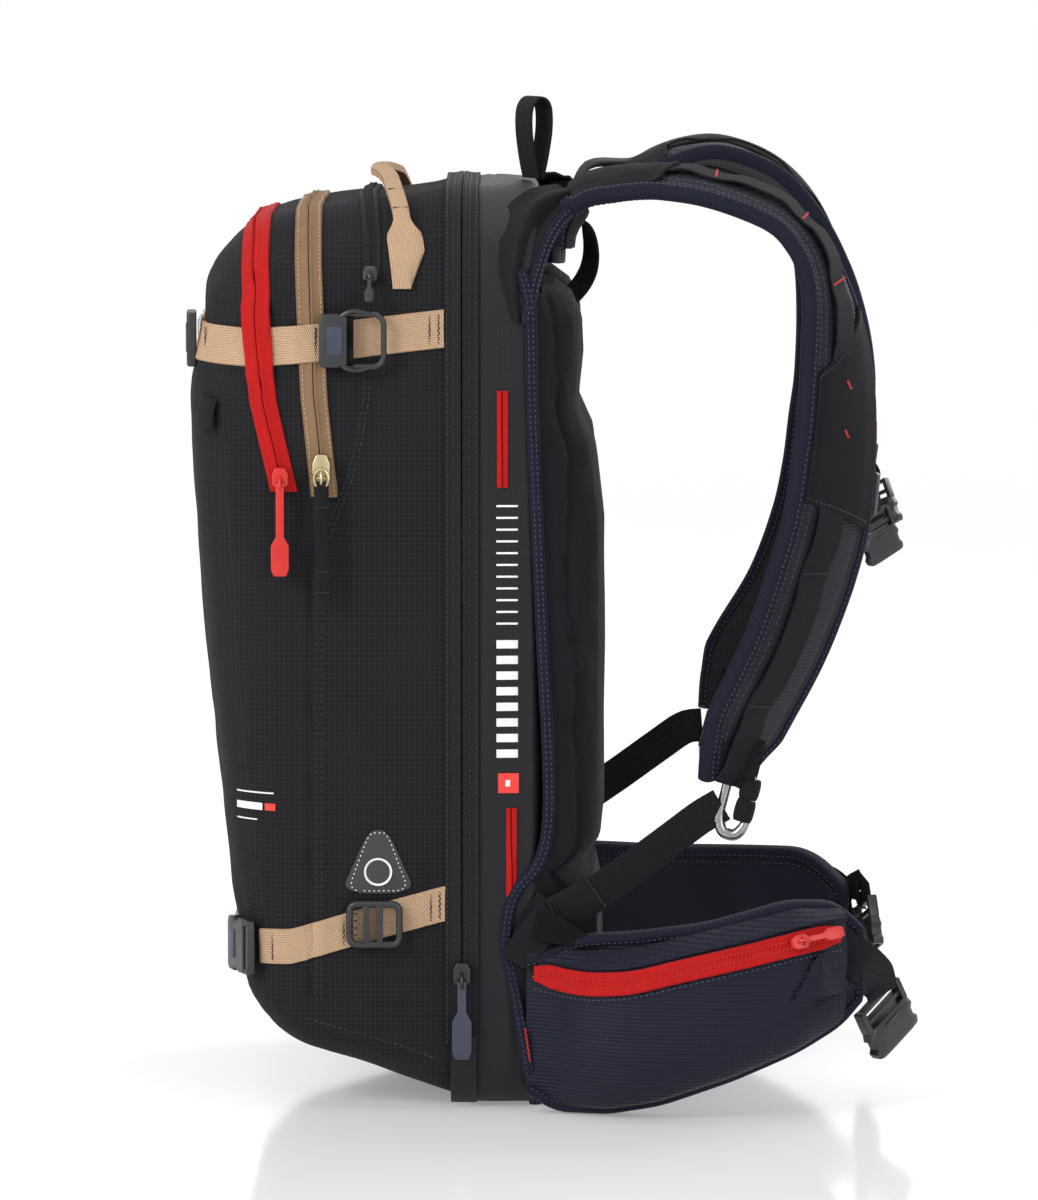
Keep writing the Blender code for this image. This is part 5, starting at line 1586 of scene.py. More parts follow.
def lower_webbing(side, word):
    """The adjusting strap from the pack's lower corner to the metal hook, with its sewn sleeve."""
    raised = LOWER_RAISE[side]
    knots = [(side * 0.1368, 0.0190, 0.1080 + raised), (side * 0.1375, 0.0400, 0.1195 + raised),
             (side * 0.1385, 0.0620, 0.1340 + raised), (side * 0.1365, 0.0880, 0.1530 + raised),
             (side * 0.1345, 0.1050 - raised * 0.1, 0.1655 + raised * 0.9),
             (side * 0.1342, 0.1178 - raised * 0.2, 0.1732 + raised * 0.60)]
    points = resampled(smooth_path(knots, 6), 0.003)
    wide = Vector((side * 0.15, -0.35, 0.92))
    piece = ribbon(f"lower_web_{word}", points, wide, 0.0200, 0.0019, "black_web", BACK)
    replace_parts(piece, f"lower_webbing_{word}")
    ribbon(f"lower_sleeve_{word}", points[2:12], wide, 0.0222, 0.0046, "black_web", BACK,
           ROUND_PROFILE)
    rows = []
    for k in (2, 11):
        p, run = points[k], tangents(points)[k]
        w = (wide - run * wide.dot(run)).normalized()
        n = w.cross(run).normalized()
        for face in (1, -1):
            middle = p + n * face * 0.0022
            rows.append((middle - w * 0.0095, middle + w * 0.0095, run * 0.0012, n * face))
    zigzag(f"lower_tacks_{word}", rows, "black_thread", BACK, 11, TACK)
    foot = points[0]
    base = [foot + Vector((0, 0.004, 0.010)), foot + Vector((side * 0.0012, -0.004, -0.002)),
            foot + Vector((side * 0.0010, -0.010, -0.018)), foot + Vector((0, -0.010, -0.040))]
    ribbon(f"lower_anchor_{word}", resampled(smooth_path(base, 5), 0.004),
           Vector((0, 0.9, 0.42)), 0.0215, 0.0018, "black_web", BACK)


HOOK_REACH = 0.0080


def strap_hook(side, word):
    """The metal hook at the strap's end, with the webbing rolled round it and the fold above."""
    raised = LEFT_LIFT + 0.002 if side < 0 else 0.0
    centre = Vector((side * 0.1340, 0.1262 - raised * 0.3, 0.1740 + raised))
    down = Vector((0.0, -0.25, -0.97)).normalized()
    across = Vector((side * 0.20, 0.97, -0.25))
    across = (across - down * across.dot(down)).normalized()
    body = f"strap_hook_{word}"
    points, radii = [], []
    for s, (u, v) in enumerate(rounded_loop(56, 2.6)):
        points.append(centre + down * 0.0182 * u + across * HOOK_REACH * v)
        radii.append(0.0022 + 0.0012 * bell(cos(2 * pi * s / 56) - 0.9, 0.45))
    piece = tube(f"strap_hook_{word}_ring", points, 0.0022, "steel", body, 12, closed=True, radii=radii)
    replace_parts(piece, body)
    gate = [centre + down * t - across * HOOK_REACH for t in (-0.011, -0.006, 0.0, 0.006, 0.011)]
    tube(f"strap_hook_{word}_gate", gate, 0.0028, "steel", body, 12)
    normal = down.cross(across).normalized()
    for k, place in enumerate((-0.012, 0.012)):
        rivet = centre + down * place - across * HOOK_REACH
        tube(f"strap_hook_{word}_rivet{k}", [rivet - normal * 0.0036, rivet + normal * 0.0036], 0.0013,
             "steel", body, 8)
    for k, (start, end) in enumerate(((-0.0155, -0.0040), (-0.0034, 0.0090))):
        rolled = [centre + down * (start + (end - start) * t / 6) + across * (HOOK_REACH - 0.0028)
                  for t in range(7)]
        swell = [0.0050 + 0.0008 * sin(pi * t / 6) ** 0.5 for t in range(7)]
        tube(f"hook_roll_{word}{k}", rolled, 0.0050, "black_web", body, 20, radii=swell)
    top = centre - down * 0.0178
    legs = ((0.020, 0.0020), (0.010, 0.0034))
    bend = [top + normal * 0.0040 * sin(radians(d)) + down * 0.0040 * cos(radians(d))
            for d in range(-80, 81, 20)]
    loop = [top - down * a - normal * b for a, b in legs] + bend
    loop += [top - down * a + normal * b for a, b in legs[::-1]]
    ribbon(f"hook_fold_{word}", loop, across, 0.0140, 0.0014, "black_web", BACK)


# ---------------------------------------------------------------- hip belt
WING_HINGE = (0.1385, 0.0085)
WING_LINE = ((0.1385, 0.0085), (0.1400, 0.0300), (0.1460, 0.0560), (0.1500, 0.0850), (0.1520, 0.1150),
             (0.1500, 0.1450), (0.1450, 0.1720), (0.1380, 0.1930))
LEFT_WING_LINE = (*WING_LINE[:-1], (0.1370, 0.1980))
WING_HALF = ((0.0, 0.0022), (0.020, 0.0045), (0.050, 0.0070))
WING_TOP = {
    1: ((0.0, 0.088), (0.015, 0.094), (0.0325, 0.101), (0.060, 0.103), (0.100, 0.1085), (0.147, 0.121),
        (0.172, 0.120), (0.187, 0.104)),
    -1: ((0.0, 0.088), (0.015, 0.100), (0.035, 0.1135), (0.085, 0.110), (0.165, 0.1095), (0.180, 0.101),
         (0.190, 0.088)),
}
WING_BASE = ((0.0, 0.012), (0.010, 0.004), (0.020, 0.0), (0.045, 0.0), (0.075, 0.0055), (0.115, 0.020),
             (0.150, 0.035), (0.175, 0.050), (0.187, 0.066))


def soft_between(value, knots, width=0.006):
    """between, rounded off over a few millimetres."""
    return sum(between(value + width * k / 2, knots) for k in (-2, -1, 0, 1, 2)) / 5


def wing_line(side, steps=8):
    """(point, distance from the hinge, along, outward) down the middle of a hip wing, seen from above."""
    line = WING_LINE if side > 0 else LEFT_WING_LINE
    points = smooth_path([(side * x, y, 0) for x, y in line], steps)
    frames = []
    for point, along in zip(points, tangents(points)):
        outward = Vector((along.y, -along.x, 0)) * side
        frames.append((point, point.y - WING_HINGE[1], along, outward))
    return frames


def hip_wing(side, word):
    """A hip belt wing: ribbed cloth outside, smooth cloth inside and a groove round its rim."""
    body = f"hip_wing_{word}"
    frames = wing_line(side)
    rings, rows = [], []
    steps = 22
    for point, distance, _, outward in frames:
        half = between(distance, WING_HALF)
        low = max(soft_between(distance, WING_BASE), 0.0003)
        high = soft_between(distance, WING_TOP[side])
        ring = []
        for face in (1, -1):
            for j in range(steps + 1):
                v = j / steps if face > 0 else 1 - j / steps
                w = 2 * v - 1
                rim = max(0.0, 1 - abs(w) ** 10) ** 0.4
                z = low + (high - low) * v
                edge = min(v, 1 - v) * (high - low)
                groove = 0.0012 * bell(edge - 0.0085, 0.0022)
                wave = 0.0007 * fold((point.x, point.y, z * 0.8), 0.030, 47.0)
                ring.append(point + outward * face * (half * rim - groove + wave * rim) + UP * z)
        rings.append(ring)
        rows.append((point, outward, half, low, high))
    piece = two_tone(f"hip_wing_{word}_cloth", rings, ("navy_ribs", "navy_smooth"), body,
                     lambda i, j: j > steps)
    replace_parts(piece, body)
    hip_wing_binding(word, rows, frames[-1][2])


def hip_wing_binding(word, rows, ahead):
    """The tape round a wing's edge. rows are (point, outward, half, low, high) along the wing."""
    body = f"hip_wing_{word}"
    path, inward, faces_out = [], [], []
    for point, outward, half, low, high in rows:
        path.append(point + UP * (high - 0.0030))
        inward.append(UP)
        faces_out.append(outward)
    point, outward, half, low, high = rows[-1]
    for k in range(1, 6):
        t = k / 6
        path.append(point + ahead * 0.0006 + UP * (high - 0.003 - (high - low - 0.006) * t))
        inward.append(ahead)
        faces_out.append(outward)
    for point, outward, half, low, high in rows[::-1]:
        path.append(point + UP * (low + 0.0030))
        inward.append(-UP)
        faces_out.append(outward)
    ring, fine = resampled(path, 0.004), []
    for k, share in places(path, even_distances(path, 0.004)):
        fine.append((inward[k].lerp(inward[k + 1], share).normalized(),
                     faces_out[k].lerp(faces_out[k + 1], share).normalized()))
    bound_edge(f"hip_wing_{word}_binding", ring, [a for a, _ in fine], 0.0072, 0.0165, body, rows=(-0.5,),
               faces=(1, -1))
    runs = []
    for face in (1, -1):
        run = []
        for p, (a, n) in zip(ring, fine):
            d = p.y - WING_HINGE[1]
            half = between(d, WING_HALF)
            run.append((p - a * 0.0060 + n * face * (half + 0.0001), n * face))
        runs.append(run[3:-3])
    stitches(f"hip_wing_{word}_stitches", runs, "navy_thread", body, length=0.0022, gap=0.0014)


POCKET_END = 0.176
POCKET_DEPTH = ((0.0, 0.0020), (0.012, 0.0045), (0.030, 0.0140), (0.060, 0.0245), (0.105, 0.0260),
                (0.150, 0.0205), (0.168, 0.0095), (0.178, 0.0040))
HIP_ZIP_HEIGHT = ((0.0, 0.0805), (0.018, 0.0775), (0.040, 0.0765), (0.062, 0.0790), (0.107, 0.0915),
                  (0.150, 0.1020), (0.170, 0.1040))


def pocket_sections():
    """(root, depth, zip height, low, top, outward, distance) of the pocket along the wing."""
    sections = []
    for point, distance, _, outward in wing_line(1, steps=10):
        if distance > POCKET_END:
            break
        face = point + outward * (between(distance, WING_HALF) + 0.0004)
        zip_z = soft_between(distance, HIP_ZIP_HEIGHT)
        top = min(between(distance, WING_TOP[1]) - 0.003, zip_z + 0.016)
        low = max(soft_between(distance, WING_BASE), 0.0003) + 0.003
        sections.append((face, soft_between(distance, POCKET_DEPTH), zip_z, low, top, outward, distance))
    return sections


def hip_pocket():
    """The pocket on the right wing, with one long crease and slack cloth."""
    rings = []
    for face, depth, zip_z, low, top, outward, distance in pocket_sections():
        belly = zip_z - 0.0075
        knots = [(0, low), (depth * 0.30, low + 0.0012), (depth * 0.60, low + 0.0050),
                 (depth * 0.86, low + (belly - low) * 0.26), (depth * 0.99, low + (belly - low) * 0.55),
                 (depth * 1.02, belly - (belly - low) * 0.14), (depth * 1.0, belly - 0.0010)]
        upper = [(depth * 0.80, zip_z + 0.0065), (depth * 0.80 + 0.0018, zip_z + 0.0088),
                 (depth * 0.62, zip_z + 0.0118), (depth * 0.34, top - 0.0012), (depth * 0.12, top), (0, top)]
        flat = smooth_path([Vector((a, 0, b)) for a, b in knots], 4)
        flat += smooth_path([Vector((a, 0, b)) for a, b in upper], 3)
        ring = []
        for p in flat:
            share = p.x / max(depth, 1e-6)
            place = face + outward * p.x + UP * p.z
            slope = sin(pi * min(max((p.z - low) / max(belly - low, 1e-6), 0), 1))
            crease_z = low + 0.014 + 0.10 * max(distance - 0.05, 0)
            long_fold = 0.0022 * bell(p.z - crease_z, 0.0030) * smooth(distance, 0.040, 0.09)
            slack = 0.0016 * fold((distance * 0.6, p.z * 1.2, 0), 0.020, 53.0)
            slack += 0.0009 * fold((distance + p.z * 0.5, p.z, 0), 0.009, 59.0)
            push = (slack - long_fold) * slope * share
            if p.z > zip_z + 0.005:
                push = 0.0010 * fold((distance * 0.8, p.z, 0), 0.012, 61.0) * share
            ring.append(place + outward * push)
        rings.append(ring)
    piece = loft("hip_pocket_cloth", rings, "navy_ribs", "hip_wing_right")
    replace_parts(piece, "hip_pocket")


HIP_ZIP_PROFILE = ((-1, 0.4), (-0.9, 0.9), (-0.45, 1.0), (-0.32, 0.75), (0.32, 0.75), (0.45, 1.0), (0.9, 0.9),
                   (1, 0.4))


def hip_zip():
    """The pocket's red zip, with large teeth and a stitch row below it."""
    rings, line, strip = [], [], []
    sections = pocket_sections()[2:-2]
    reach = 0.0
    for k, (face, depth, zip_z, _, _, outward, _) in enumerate(sections):
        a = face + outward * depth + UP * (zip_z - 0.0075)
        b = face + outward * depth * 0.80 + UP * (zip_z + 0.0065)
        slope = (b - a).normalized()
        normal = (outward * slope.z - UP * slope.dot(outward)).normalized()
        base = (a + b) / 2 + normal * 0.0008
        if k:
            reach += (base - line[-1][0]).length
        end = smooth(min(k, len(sections) - 1 - k), 0, 5)
        half = 0.0045 + 0.0022 * end
        top, bottom = [], []
        for share, height in HIP_ZIP_PROFILE:
            top.append(base + slope * half * share + normal * 0.0016 * height)
            bottom.append(base + slope * half * share)
        strip += [(reach, half * s) for s in there_and_back(HIP_ZIP_PROFILE)]
        rings.append(top + bottom[::-1])
        line.append((base + normal * 0.0012, normal, slope))
    piece = loft("hip_zip_knit", rings, "red_tape", "hip_wing_right", strip=strip)
    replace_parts(piece, "hip_zip_tape")
    teeth("hip_zip_teeth", line, "red_plastic", "hip_wing_right", pitch=0.0022, reach=0.0040,
          size=(0.0016, 0.0015), drop=0.0001)
    stitches("hip_zip_stitches", [offset_run(line, -0.0090)], "navy_thread", "hip_wing_right", length=0.0018,
             gap=0.0014)


HIP_BUCKLE_BARS = {1: (0.1220, 0.2090, 0.0615), -1: (-0.1280, 0.2110, 0.0780)}


def tip_webbing():
    """The webbing from each hip wing's tip to its buckle."""
    for side, word, top in ((1, "right", 0.096), (-1, "left", 0.090)):
        frames = wing_line(side)
        point, _, along, outward = frames[-3]
        bar = Vector(HIP_BUCKLE_BARS[side])
        start = point + outward * 0.0078 + UP * top - along * 0.016
        tip = point + outward * 0.0075 + along * 0.008 + UP * (top - 0.012)
        knots = [start, start + along * 0.012 - UP * 0.004, tip, bar + Vector((side * 0.004, -0.002, 0.010)),
                 bar + UP * 0.002]
        path = resampled(smooth_path(knots, 6), 0.003)
        wide_start = (UP * 0.75 + along * 0.45).normalized()
        wide_end = Vector((-0.70, 0.70, 0)).normalized() if side > 0 else Vector((0.95, 0.30, 0)).normalized()
        across = [wide_start.lerp(wide_end, smooth(i / (len(path) - 1), 0.25, 1.0)) for i in range(len(path))]
        ribbon(f"hip_web_{word}", path, across, 0.0240, 0.0017, "black_web", f"hip_wing_{word}")


# ---------------------------------------------------------------- loops and handles
# The carry loop seen along the body's width: (along, up) from its foot.
CARRY_LOOP_SHAPE = ((-0.0012, 0.0), (-0.0040, 0.013), (-0.0060, 0.029), (-0.0050, 0.041), (0.0005, 0.0462),
                    (0.0065, 0.042), (0.0075, 0.029), (0.0050, 0.013), (0.0018, 0.0))
BACK_HANDLE_ROUTE = ((0.0, 0.0185, 0.4980), (0.0, 0.0300, 0.5000), (0.0, 0.0415, 0.4930),
                     (0.0, 0.0455, 0.4780), (0.0, 0.0430, 0.4630), (0.0, 0.0330, 0.4500),
                     (0.0, 0.0185, 0.4420))


def loops():
    """The standing carry loop on the top and the handle on the back."""
    across = Vector((0.86, 0.51, 0)).normalized()
    span = Vector((-0.51, 0.86, 0)).normalized()
    foot = Vector((0.0, 0.0120, HEIGHT + 0.0018))
    points = resampled(smooth_path([foot + span * a + UP * b for a, b in CARRY_LOOP_SHAPE], 6), 0.002)
    piece = ribbon("carry_loop_web", points, across, 0.0180, 0.0015, "black_web", BACK)
    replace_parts(piece, "carry_loop")
    points = resampled(smooth_path(BACK_HANDLE_ROUTE, 6), 0.0025)
    piece = ribbon("back_handle_web", points, Vector((0.75, 0.45, -0.45)), 0.0160, 0.0017, "black_web", BACK)
    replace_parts(piece, "back_handle")


HANDLE_PROFILE = ((-1, 0.45), (-0.9, 0.9), (-0.5, 1.05), (0, 1.1), (0.5, 1.05), (0.9, 0.9), (1, 0.45))


def grab_handle(tree):
    """The tan handle over the top: flat where it is sewn down and rolled where it is gripped."""
    rings, strip, reach, last = [], [], 0.0, None
    tacks = []
    count = 96
    for i in range(count + 1):
        a = radians(17.5 + 145 * i / count)
        lean = -0.0545 - 0.0200 * sin(a) ** 2
        target = Vector((0, lean, 0.420))
        out = Vector((cos(a), 0, sin(a)))
        middle, normal = hit(tree, target, out)
        across_x = abs(middle.x)
        free = bump_range(across_x, 0, 0.112, 0.010)
        lift = 0.0008 + 0.0026 * free + 0.0090 * max(0.0, 1 - (across_x / 0.090) ** 2)
        half = 0.0100 - 0.0052 * smooth(free, 0.3, 1.0)
        thick = 0.0018 + 0.0030 * smooth(free, 0.3, 1.0)
        edge_cut = i / 6 if i < 6 else ((count - i) / 6 if i > count - 6 else 1.0)
        top, bottom = [], []
        for share, height in HANDLE_PROFILE:
            slope = share * half * (edge_cut if share > 0 else 1.0)
            point, _ = hit(tree, target + AHEAD * slope, out)
            top.append(point + normal * (lift + thick * height))
            bottom.append(point + normal * lift)
        if last is not None:
            reach += (middle - last).length
        last = middle
        strip += [(reach, half * s) for s in there_and_back(HANDLE_PROFILE)]
        rings.append(top + bottom[::-1])
        if i in (13, count - 13, 18, count - 18):
            base = middle + normal * (lift + thick)
            tacks.append((base - AHEAD * half * 0.85, base + AHEAD * half * 0.85,
                          Vector((-normal.z, 0, normal.x)) * 0.0012, normal))
    piece = loft("grab_handle_web", rings, "tan_web", FRONT, strip=strip)
    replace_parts(piece, "top_grab_handle")
    zigzag("grab_handle_tacks", tacks, "black_thread", FRONT, 10, TACK)


# ---------------------------------------------------------------- hard parts
def hard_parts():
    """Sliders, pulls and other moulded parts, and the finished metal of the hidden ones."""
    for name, look, bevel in (
        ("red_zip_slider", "red_plastic", 0.0006), ("red_zip_pull", "red_plastic", 0.0005),
        ("tan_zip_slider", "brass", 0.0008),
        ("top_zip_slider", "black_plastic", 0.0006), ("top_zip_pull", "black_plastic", 0.0004),
        ("main_zip_slider", "black_metal", 0.0007), ("main_zip_pull", "navy_plastic", 0.0006),
        ("hip_zip_slider", "red_plastic", 0.0006), ("hip_zip_pull", "red_plastic", 0.0004),
        ("sternum_right_slider", "black_plastic", 0.0007), ("sternum_left_slider", "black_plastic", 0.0007),
        ("trigger_handle", "red_plastic", 0.0018), ("inflator_lever", "red_plastic", 0.0005),
    ):
        refined(name, look, bevel)
    for name, look in (
        ("gas_canister", "anodised"), ("inflator_head", "aluminium"), ("inflation_manifold", "black_rubber"),
        ("frame_stay", "aluminium"), ("frame_sheet", "frame_plastic"),
    ):
        NODES[name].material_slots[0].material = LOOKS[look]


# ---------------------------------------------------------------- marks and panels on the cloth
def decal(name, tree, y0, y1, z0, z1, look, side=1, lift=0.0002, thickness=0.0004, profile=FLAT_PROFILE,
          body=BACK):
    """A printed or welded mark on the pack's side, between two places across and two heights."""
    count = max(1, round((z1 - z0) / 0.004))
    stations = []
    for i in range(count + 1):
        z = z0 + (z1 - z0) * i / count
        stations.append((Vector((0, (y0 + y1) / 2, z)), Vector((side, 0, 0)), AHEAD))
    draped(name, tree, stations, y1 - y0, thickness, look, body, lambda p: lift, profile)


WINDOW_PROFILE = ((-1, 0.3), (-0.9, 0.9), (-0.5, 1.1), (-0.16, 1.3), (-0.08, 0.2), (0.08, 0.2), (0.16, 1.3),
                  (0.5, 1.1), (0.9, 0.9), (1, 0.3))


# The airbag's pull-open windows: middle Y, height from and to.
BAND_WINDOWS = ((-0.0052, 0.352, 0.4060), (-0.0002, 0.1215, 0.1715))


def band_marks(tree):
    """Pull-open windows, a red square and plain white bars on both sides of the band."""
    for side, word in SIDES:
        for k, (y, z0, z1) in enumerate(BAND_WINDOWS):
            decal(f"band_window_{word}{k}", tree, y - 0.0031, y + 0.0031, z0, z1, "red_tape", side, 0.0003,
                  0.0013, WINDOW_PROFILE)
        decal(f"band_square_{word}", tree, -0.0078, 0.0040, 0.1800, 0.1912, "red_print", side,
              thickness=0.0006)
        decal(f"band_square_dot_{word}", tree, -0.0036, -0.0002, 0.1838, 0.1874, "white_print", side, 0.0007,
              0.0003)
        for k in range(8):
            z = 0.2000 + k * 0.0088
            decal(f"band_block_{word}{k}", tree, -0.0086, 0.0034, z, z + 0.0046, "white_print", side)
        for k in range(11):
            z = 0.2750 + k * 0.0066
            decal(f"band_tick_{word}{k}", tree, -0.0086, 0.0034, z, z + 0.0011, "white_print", side)


def seam_stitches(tree):
    """Top-stitching along the side panels' seams and the seam of the panel below them."""
    for side, word in SIDES:
        runs = []
        for shift in (0.0032, 0.0062):
            run = []
            for i in range(120):
                z = 0.062 + 0.355 * i / 119
                run.append(on_side(tree, soft_between(z, SIDE_SEAM, 0.012) + shift, z, side, 0.0001))
            runs.append(run)
        base = [on_side(tree, y, between(y, BASE_SEAM) + 0.0035, side, 0.0001)
                for y in (-0.115 + 0.075 * k / 40 for k in range(41))]
        stitches(f"side_seam_{word}", runs + [base], "grey_thread", FRONT, length=0.0024, gap=0.0012,
                 width=0.0005)


def band_stitches(tree):
    """Two rows of top-stitching beside the band's seam."""
    for side, word in SIDES:
        runs = []
        for shift in (0.0022, 0.0048):
            runs.append([on_side(tree, between(z, BAND_SEAM) + shift, z, side, 0.0001)
                         for z in (0.200 + 0.245 * k / 90 for k in range(91))])
        stitches(f"band_seam_{word}", runs, "grey_thread", BACK, length=0.0020, gap=0.0012, width=0.0005)


# Plain marks by the lower front edge: Y from and to, height from and to, look.
FRONT_MARKS = (
    (-0.1545, -0.1335, 0.1795, 0.1803, "white_print"), (-0.1545, -0.1400, 0.1700, 0.1740, "white_print"),
    (-0.1385, -0.1325, 0.1700, 0.1740, "red_print"), (-0.1545, -0.1430, 0.1640, 0.1647, "white_print"),
)
LABEL_MIDDLE_Y = -0.0750
LABEL_LOW, LABEL_HIGH = 0.1238, 0.1595
LABEL_RING_Z, LABEL_RING_RADIUS = 0.1360, 0.0072


def side_patch(tree):
    """A plain rounded triangular label with a stitched border and a ring, and the plain marks."""
    rows = []
    for t in shares(24):
        half = 0.0200 * (1 - t) * 0.80 + 0.0052
        half *= (1 - (2 * t - 1) ** 8) ** 0.5 if 0 < t < 1 else 0.45
        z = LABEL_LOW + (LABEL_HIGH - LABEL_LOW) * t
        rows.append([on_side(tree, LABEL_MIDDLE_Y + half * (j / 6 - 1), z, 1, 0.0010)[0] for j in range(13)])
    patch("side_label", rows, 0.0011, "patch", FRONT)
    outline = [r[1] for r in rows[1:24]] + rows[23][2:11] + [r[11] for r in rows[23:0:-1]] + rows[1][10:1:-1]
    run = [(p, RIGHT) for p in outline]
    stitches("side_label_stitches", [run], "white_print", FRONT, length=0.0011, gap=0.0016, height=0.0003)
    ring = []
    for a in (2 * pi * s / 40 for s in range(40)):
        y, z = LABEL_MIDDLE_Y + LABEL_RING_RADIUS * cos(a), LABEL_RING_Z + LABEL_RING_RADIUS * sin(a)
        ring.append(on_side(tree, y, z, 1, 0.0013)[0])
    tube("side_label_ring", ring, 0.0009, "white_print", FRONT, 6, closed=True, flat=0.6)
    for k, (y0, y1, z0, z1, look) in enumerate(FRONT_MARKS):
        decal(f"front_mark{k}", tree, y0, y1, z0, z1, look, body=FRONT)


# ---------------------------------------------------------------- buckles
def prism(name, outline, place, c0, c1, look, body, bevel):
    """A plate with rounded edges. place(a, b, c) maps its outline and thickness to the row frame."""
    ca = sum(a for a, _ in outline) / len(outline)
    cb = sum(b for _, b in outline) / len(outline)

    def inset(amount):
        found = []
        for a, b in outline:
            reach = max(hypot(a - ca, b - cb), 1e-6)
            found.append((a - (a - ca) / reach * amount, b - (b - cb) / reach * amount))
        return found

    layers = ((bevel, c0), (bevel * 0.3, c0 + bevel * 0.3), (0, c0 + bevel), (0, c1 - bevel),
              (bevel * 0.3, c1 - bevel * 0.3), (bevel, c1))
    rings = [[place(a, b, c) for a, b in inset(d)] for d, c in layers]
    return loft(name, rings, look, body, angle=30)


def rounded_rectangle(half_u, half_v, radius, steps, centre=(0.0, 0.0)):
    """The outline of a rectangle with steps points to each rounded corner."""
    points = []
    for quarter, (su, sv) in enumerate(((1, 1), (-1, 1), (-1, -1), (1, -1))):
        for s in range(steps + 1):
            a = (quarter + s / steps) * pi / 2
            points.append((centre[0] + su * (half_u - radius) + radius * cos(a),
                           centre[1] + sv * (half_v - radius) + radius * sin(a)))
    return points


def surface_frame(tree, angle, height, side=1):
    """(point, along the strap towards the front, outward) on the shell at an angle round it."""
    a = radians(angle)
    point, _ = hit(tree, (0, SHELL_MIDDLE_Y, height), (side * cos(a), -sin(a), 0))
    ahead, _ = hit(tree, (0, SHELL_MIDDLE_Y, height), (side * cos(a + 0.05), -sin(a + 0.05), 0))
    along = (ahead - point).normalized()
    outward = along.cross(UP).normalized()
    if outward.dot(point - Vector((0, SHELL_MIDDLE_Y, height))) < 0:
        outward = -outward
    return point, along, outward


def ladder_lock(name, place, u, v):
    """A frame with two bars and four grip ribs, u by v in half sizes. Returns its frame."""
    look = "black_plastic"
    ring = [place(a, b, 0.0024) for a, b in rounded_rectangle(u - 0.002, v - 0.0020, 0.004, 4)]
    frame_piece = tube(name + "_frame", ring, 0.0020, look, name, 10, closed=True)
    for k, a in enumerate((-0.0030, 0.0045)):
        bar = rounded_rectangle(0.0017, v - 0.0024, 0.0008, 3, (a, 0))
        prism(f"{name}_bar{k}", bar, place, 0.0006, 0.0046, look, name, 0.0006)
    for k in range(4):
        grip = rounded_rectangle(0.0024, 0.0005, 0.0004, 2, (u - 0.0042, -0.0060 + k * 0.0040))
        prism(f"{name}_grip{k}", grip, place, 0.0028, 0.0049, look, name, 0.0003)
    return frame_piece


def buckle_body(name, place, u, v, waist, tail):
    """A waisted plate that ends at tail, with its blank label. Returns the plate."""
    outline = [(u, v * 0.78), (u - 0.0012, v * 0.95), (u * 0.45, v * 0.98), (u * 0.30, v - waist),
               (u * 0.02, v - waist), (-u * 0.10, v * 0.98), (tail, v * 0.96)]
    outline += [(a, -b) for a, b in outline[::-1]]
    plate = prism(name + "_body", outline, place, 0.0, 0.0056, "black_plastic", name, 0.0012)
    label = rounded_rectangle(0.0042, v * 0.52, 0.0012, 3, (u * 0.52, 0))
    prism(name + "_label", label, place, 0.0050, 0.0061, "navy_plastic", name, 0.0003)
    return plate


def hook_buckle(name, place, u, v):
    """A buckle with a round hook and two curved horns."""
    plate = buckle_body(name, place, u, v, 0.0016, 0.0022)
    loop = rounded_rectangle(0.0115, v - 0.0008, 0.0060, 5, (-u + 0.0115, 0))
    tube(name + "_hook", [place(a, b, 0.0030) for a, b in loop], 0.0017, "black_plastic", name, 10,
         closed=True)
    for turn in (-1, 1):
        knots = ((0.40, 0.80, 0.0035), (0.10, 1.02, 0.0045), (-0.25, 1.06, 0.0045), (-0.62, 0.92, 0.0035))
        horn = smooth_path([place(u * a, turn * v * b, c) for a, b, c in knots], 5)
        tube(f"{name}_horn{turn + 1}", horn, 0.0013, "black_plastic", name, 8)
    return plate


def release_buckle(name, place, u, v):
    """A side-release buckle with its rear bar and two arms."""
    plate = buckle_body(name, place, u, v, 0.0022, -0.0090)
    bar = rounded_rectangle(0.0022, v * 0.96, 0.001, 3, (-u + 0.0022, 0))
    prism(name + "_rear_bar", bar, place, 0.0004, 0.0046, "black_plastic", name, 0.0007)
    for turn in (-1, 1):
        arm = rounded_rectangle(0.0060, 0.0016, 0.0007, 3, (-u + 0.0070, turn * (v - 0.0022)))
        prism(f"{name}_arm{turn + 1}", arm, place, 0.0004, 0.0050, "black_plastic", name, 0.0006)
    return plate


def strap_buckles(tree):
    """The compression straps' buckles, over their CAD plates."""
    for name, angle, height, side, (u, v), lift, kind in (
        ("upper_side_buckle_right", -2.4, 0.4345, 1, (0.0180, 0.0155), 0.0050, hook_buckle),
        ("upper_side_buckle_left", -2.4, 0.4345, -1, (0.0180, 0.0155), 0.0050, hook_buckle),
        ("lower_side_buckle_right", -7.5, 0.1065, 1, (0.0160, 0.0135), 0.0032, ladder_lock),
        ("lower_side_buckle_left", -7.5, 0.1065, -1, (0.0160, 0.0135), 0.0032, ladder_lock),
        ("upper_front_buckle", 44.0, 0.432, 1, (0.0150, 0.0160), 0.0040, release_buckle),
        ("lower_front_buckle", 24.5, 0.091, 1, (0.0150, 0.0160), 0.0040, release_buckle),
    ):
        point, along, outward = surface_frame(tree, angle, height, side)
        origin = point + outward * lift

        def place(a, b, c):
            return origin + along * a + UP * b + outward * c

        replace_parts(kind(name, place, u, v), name)


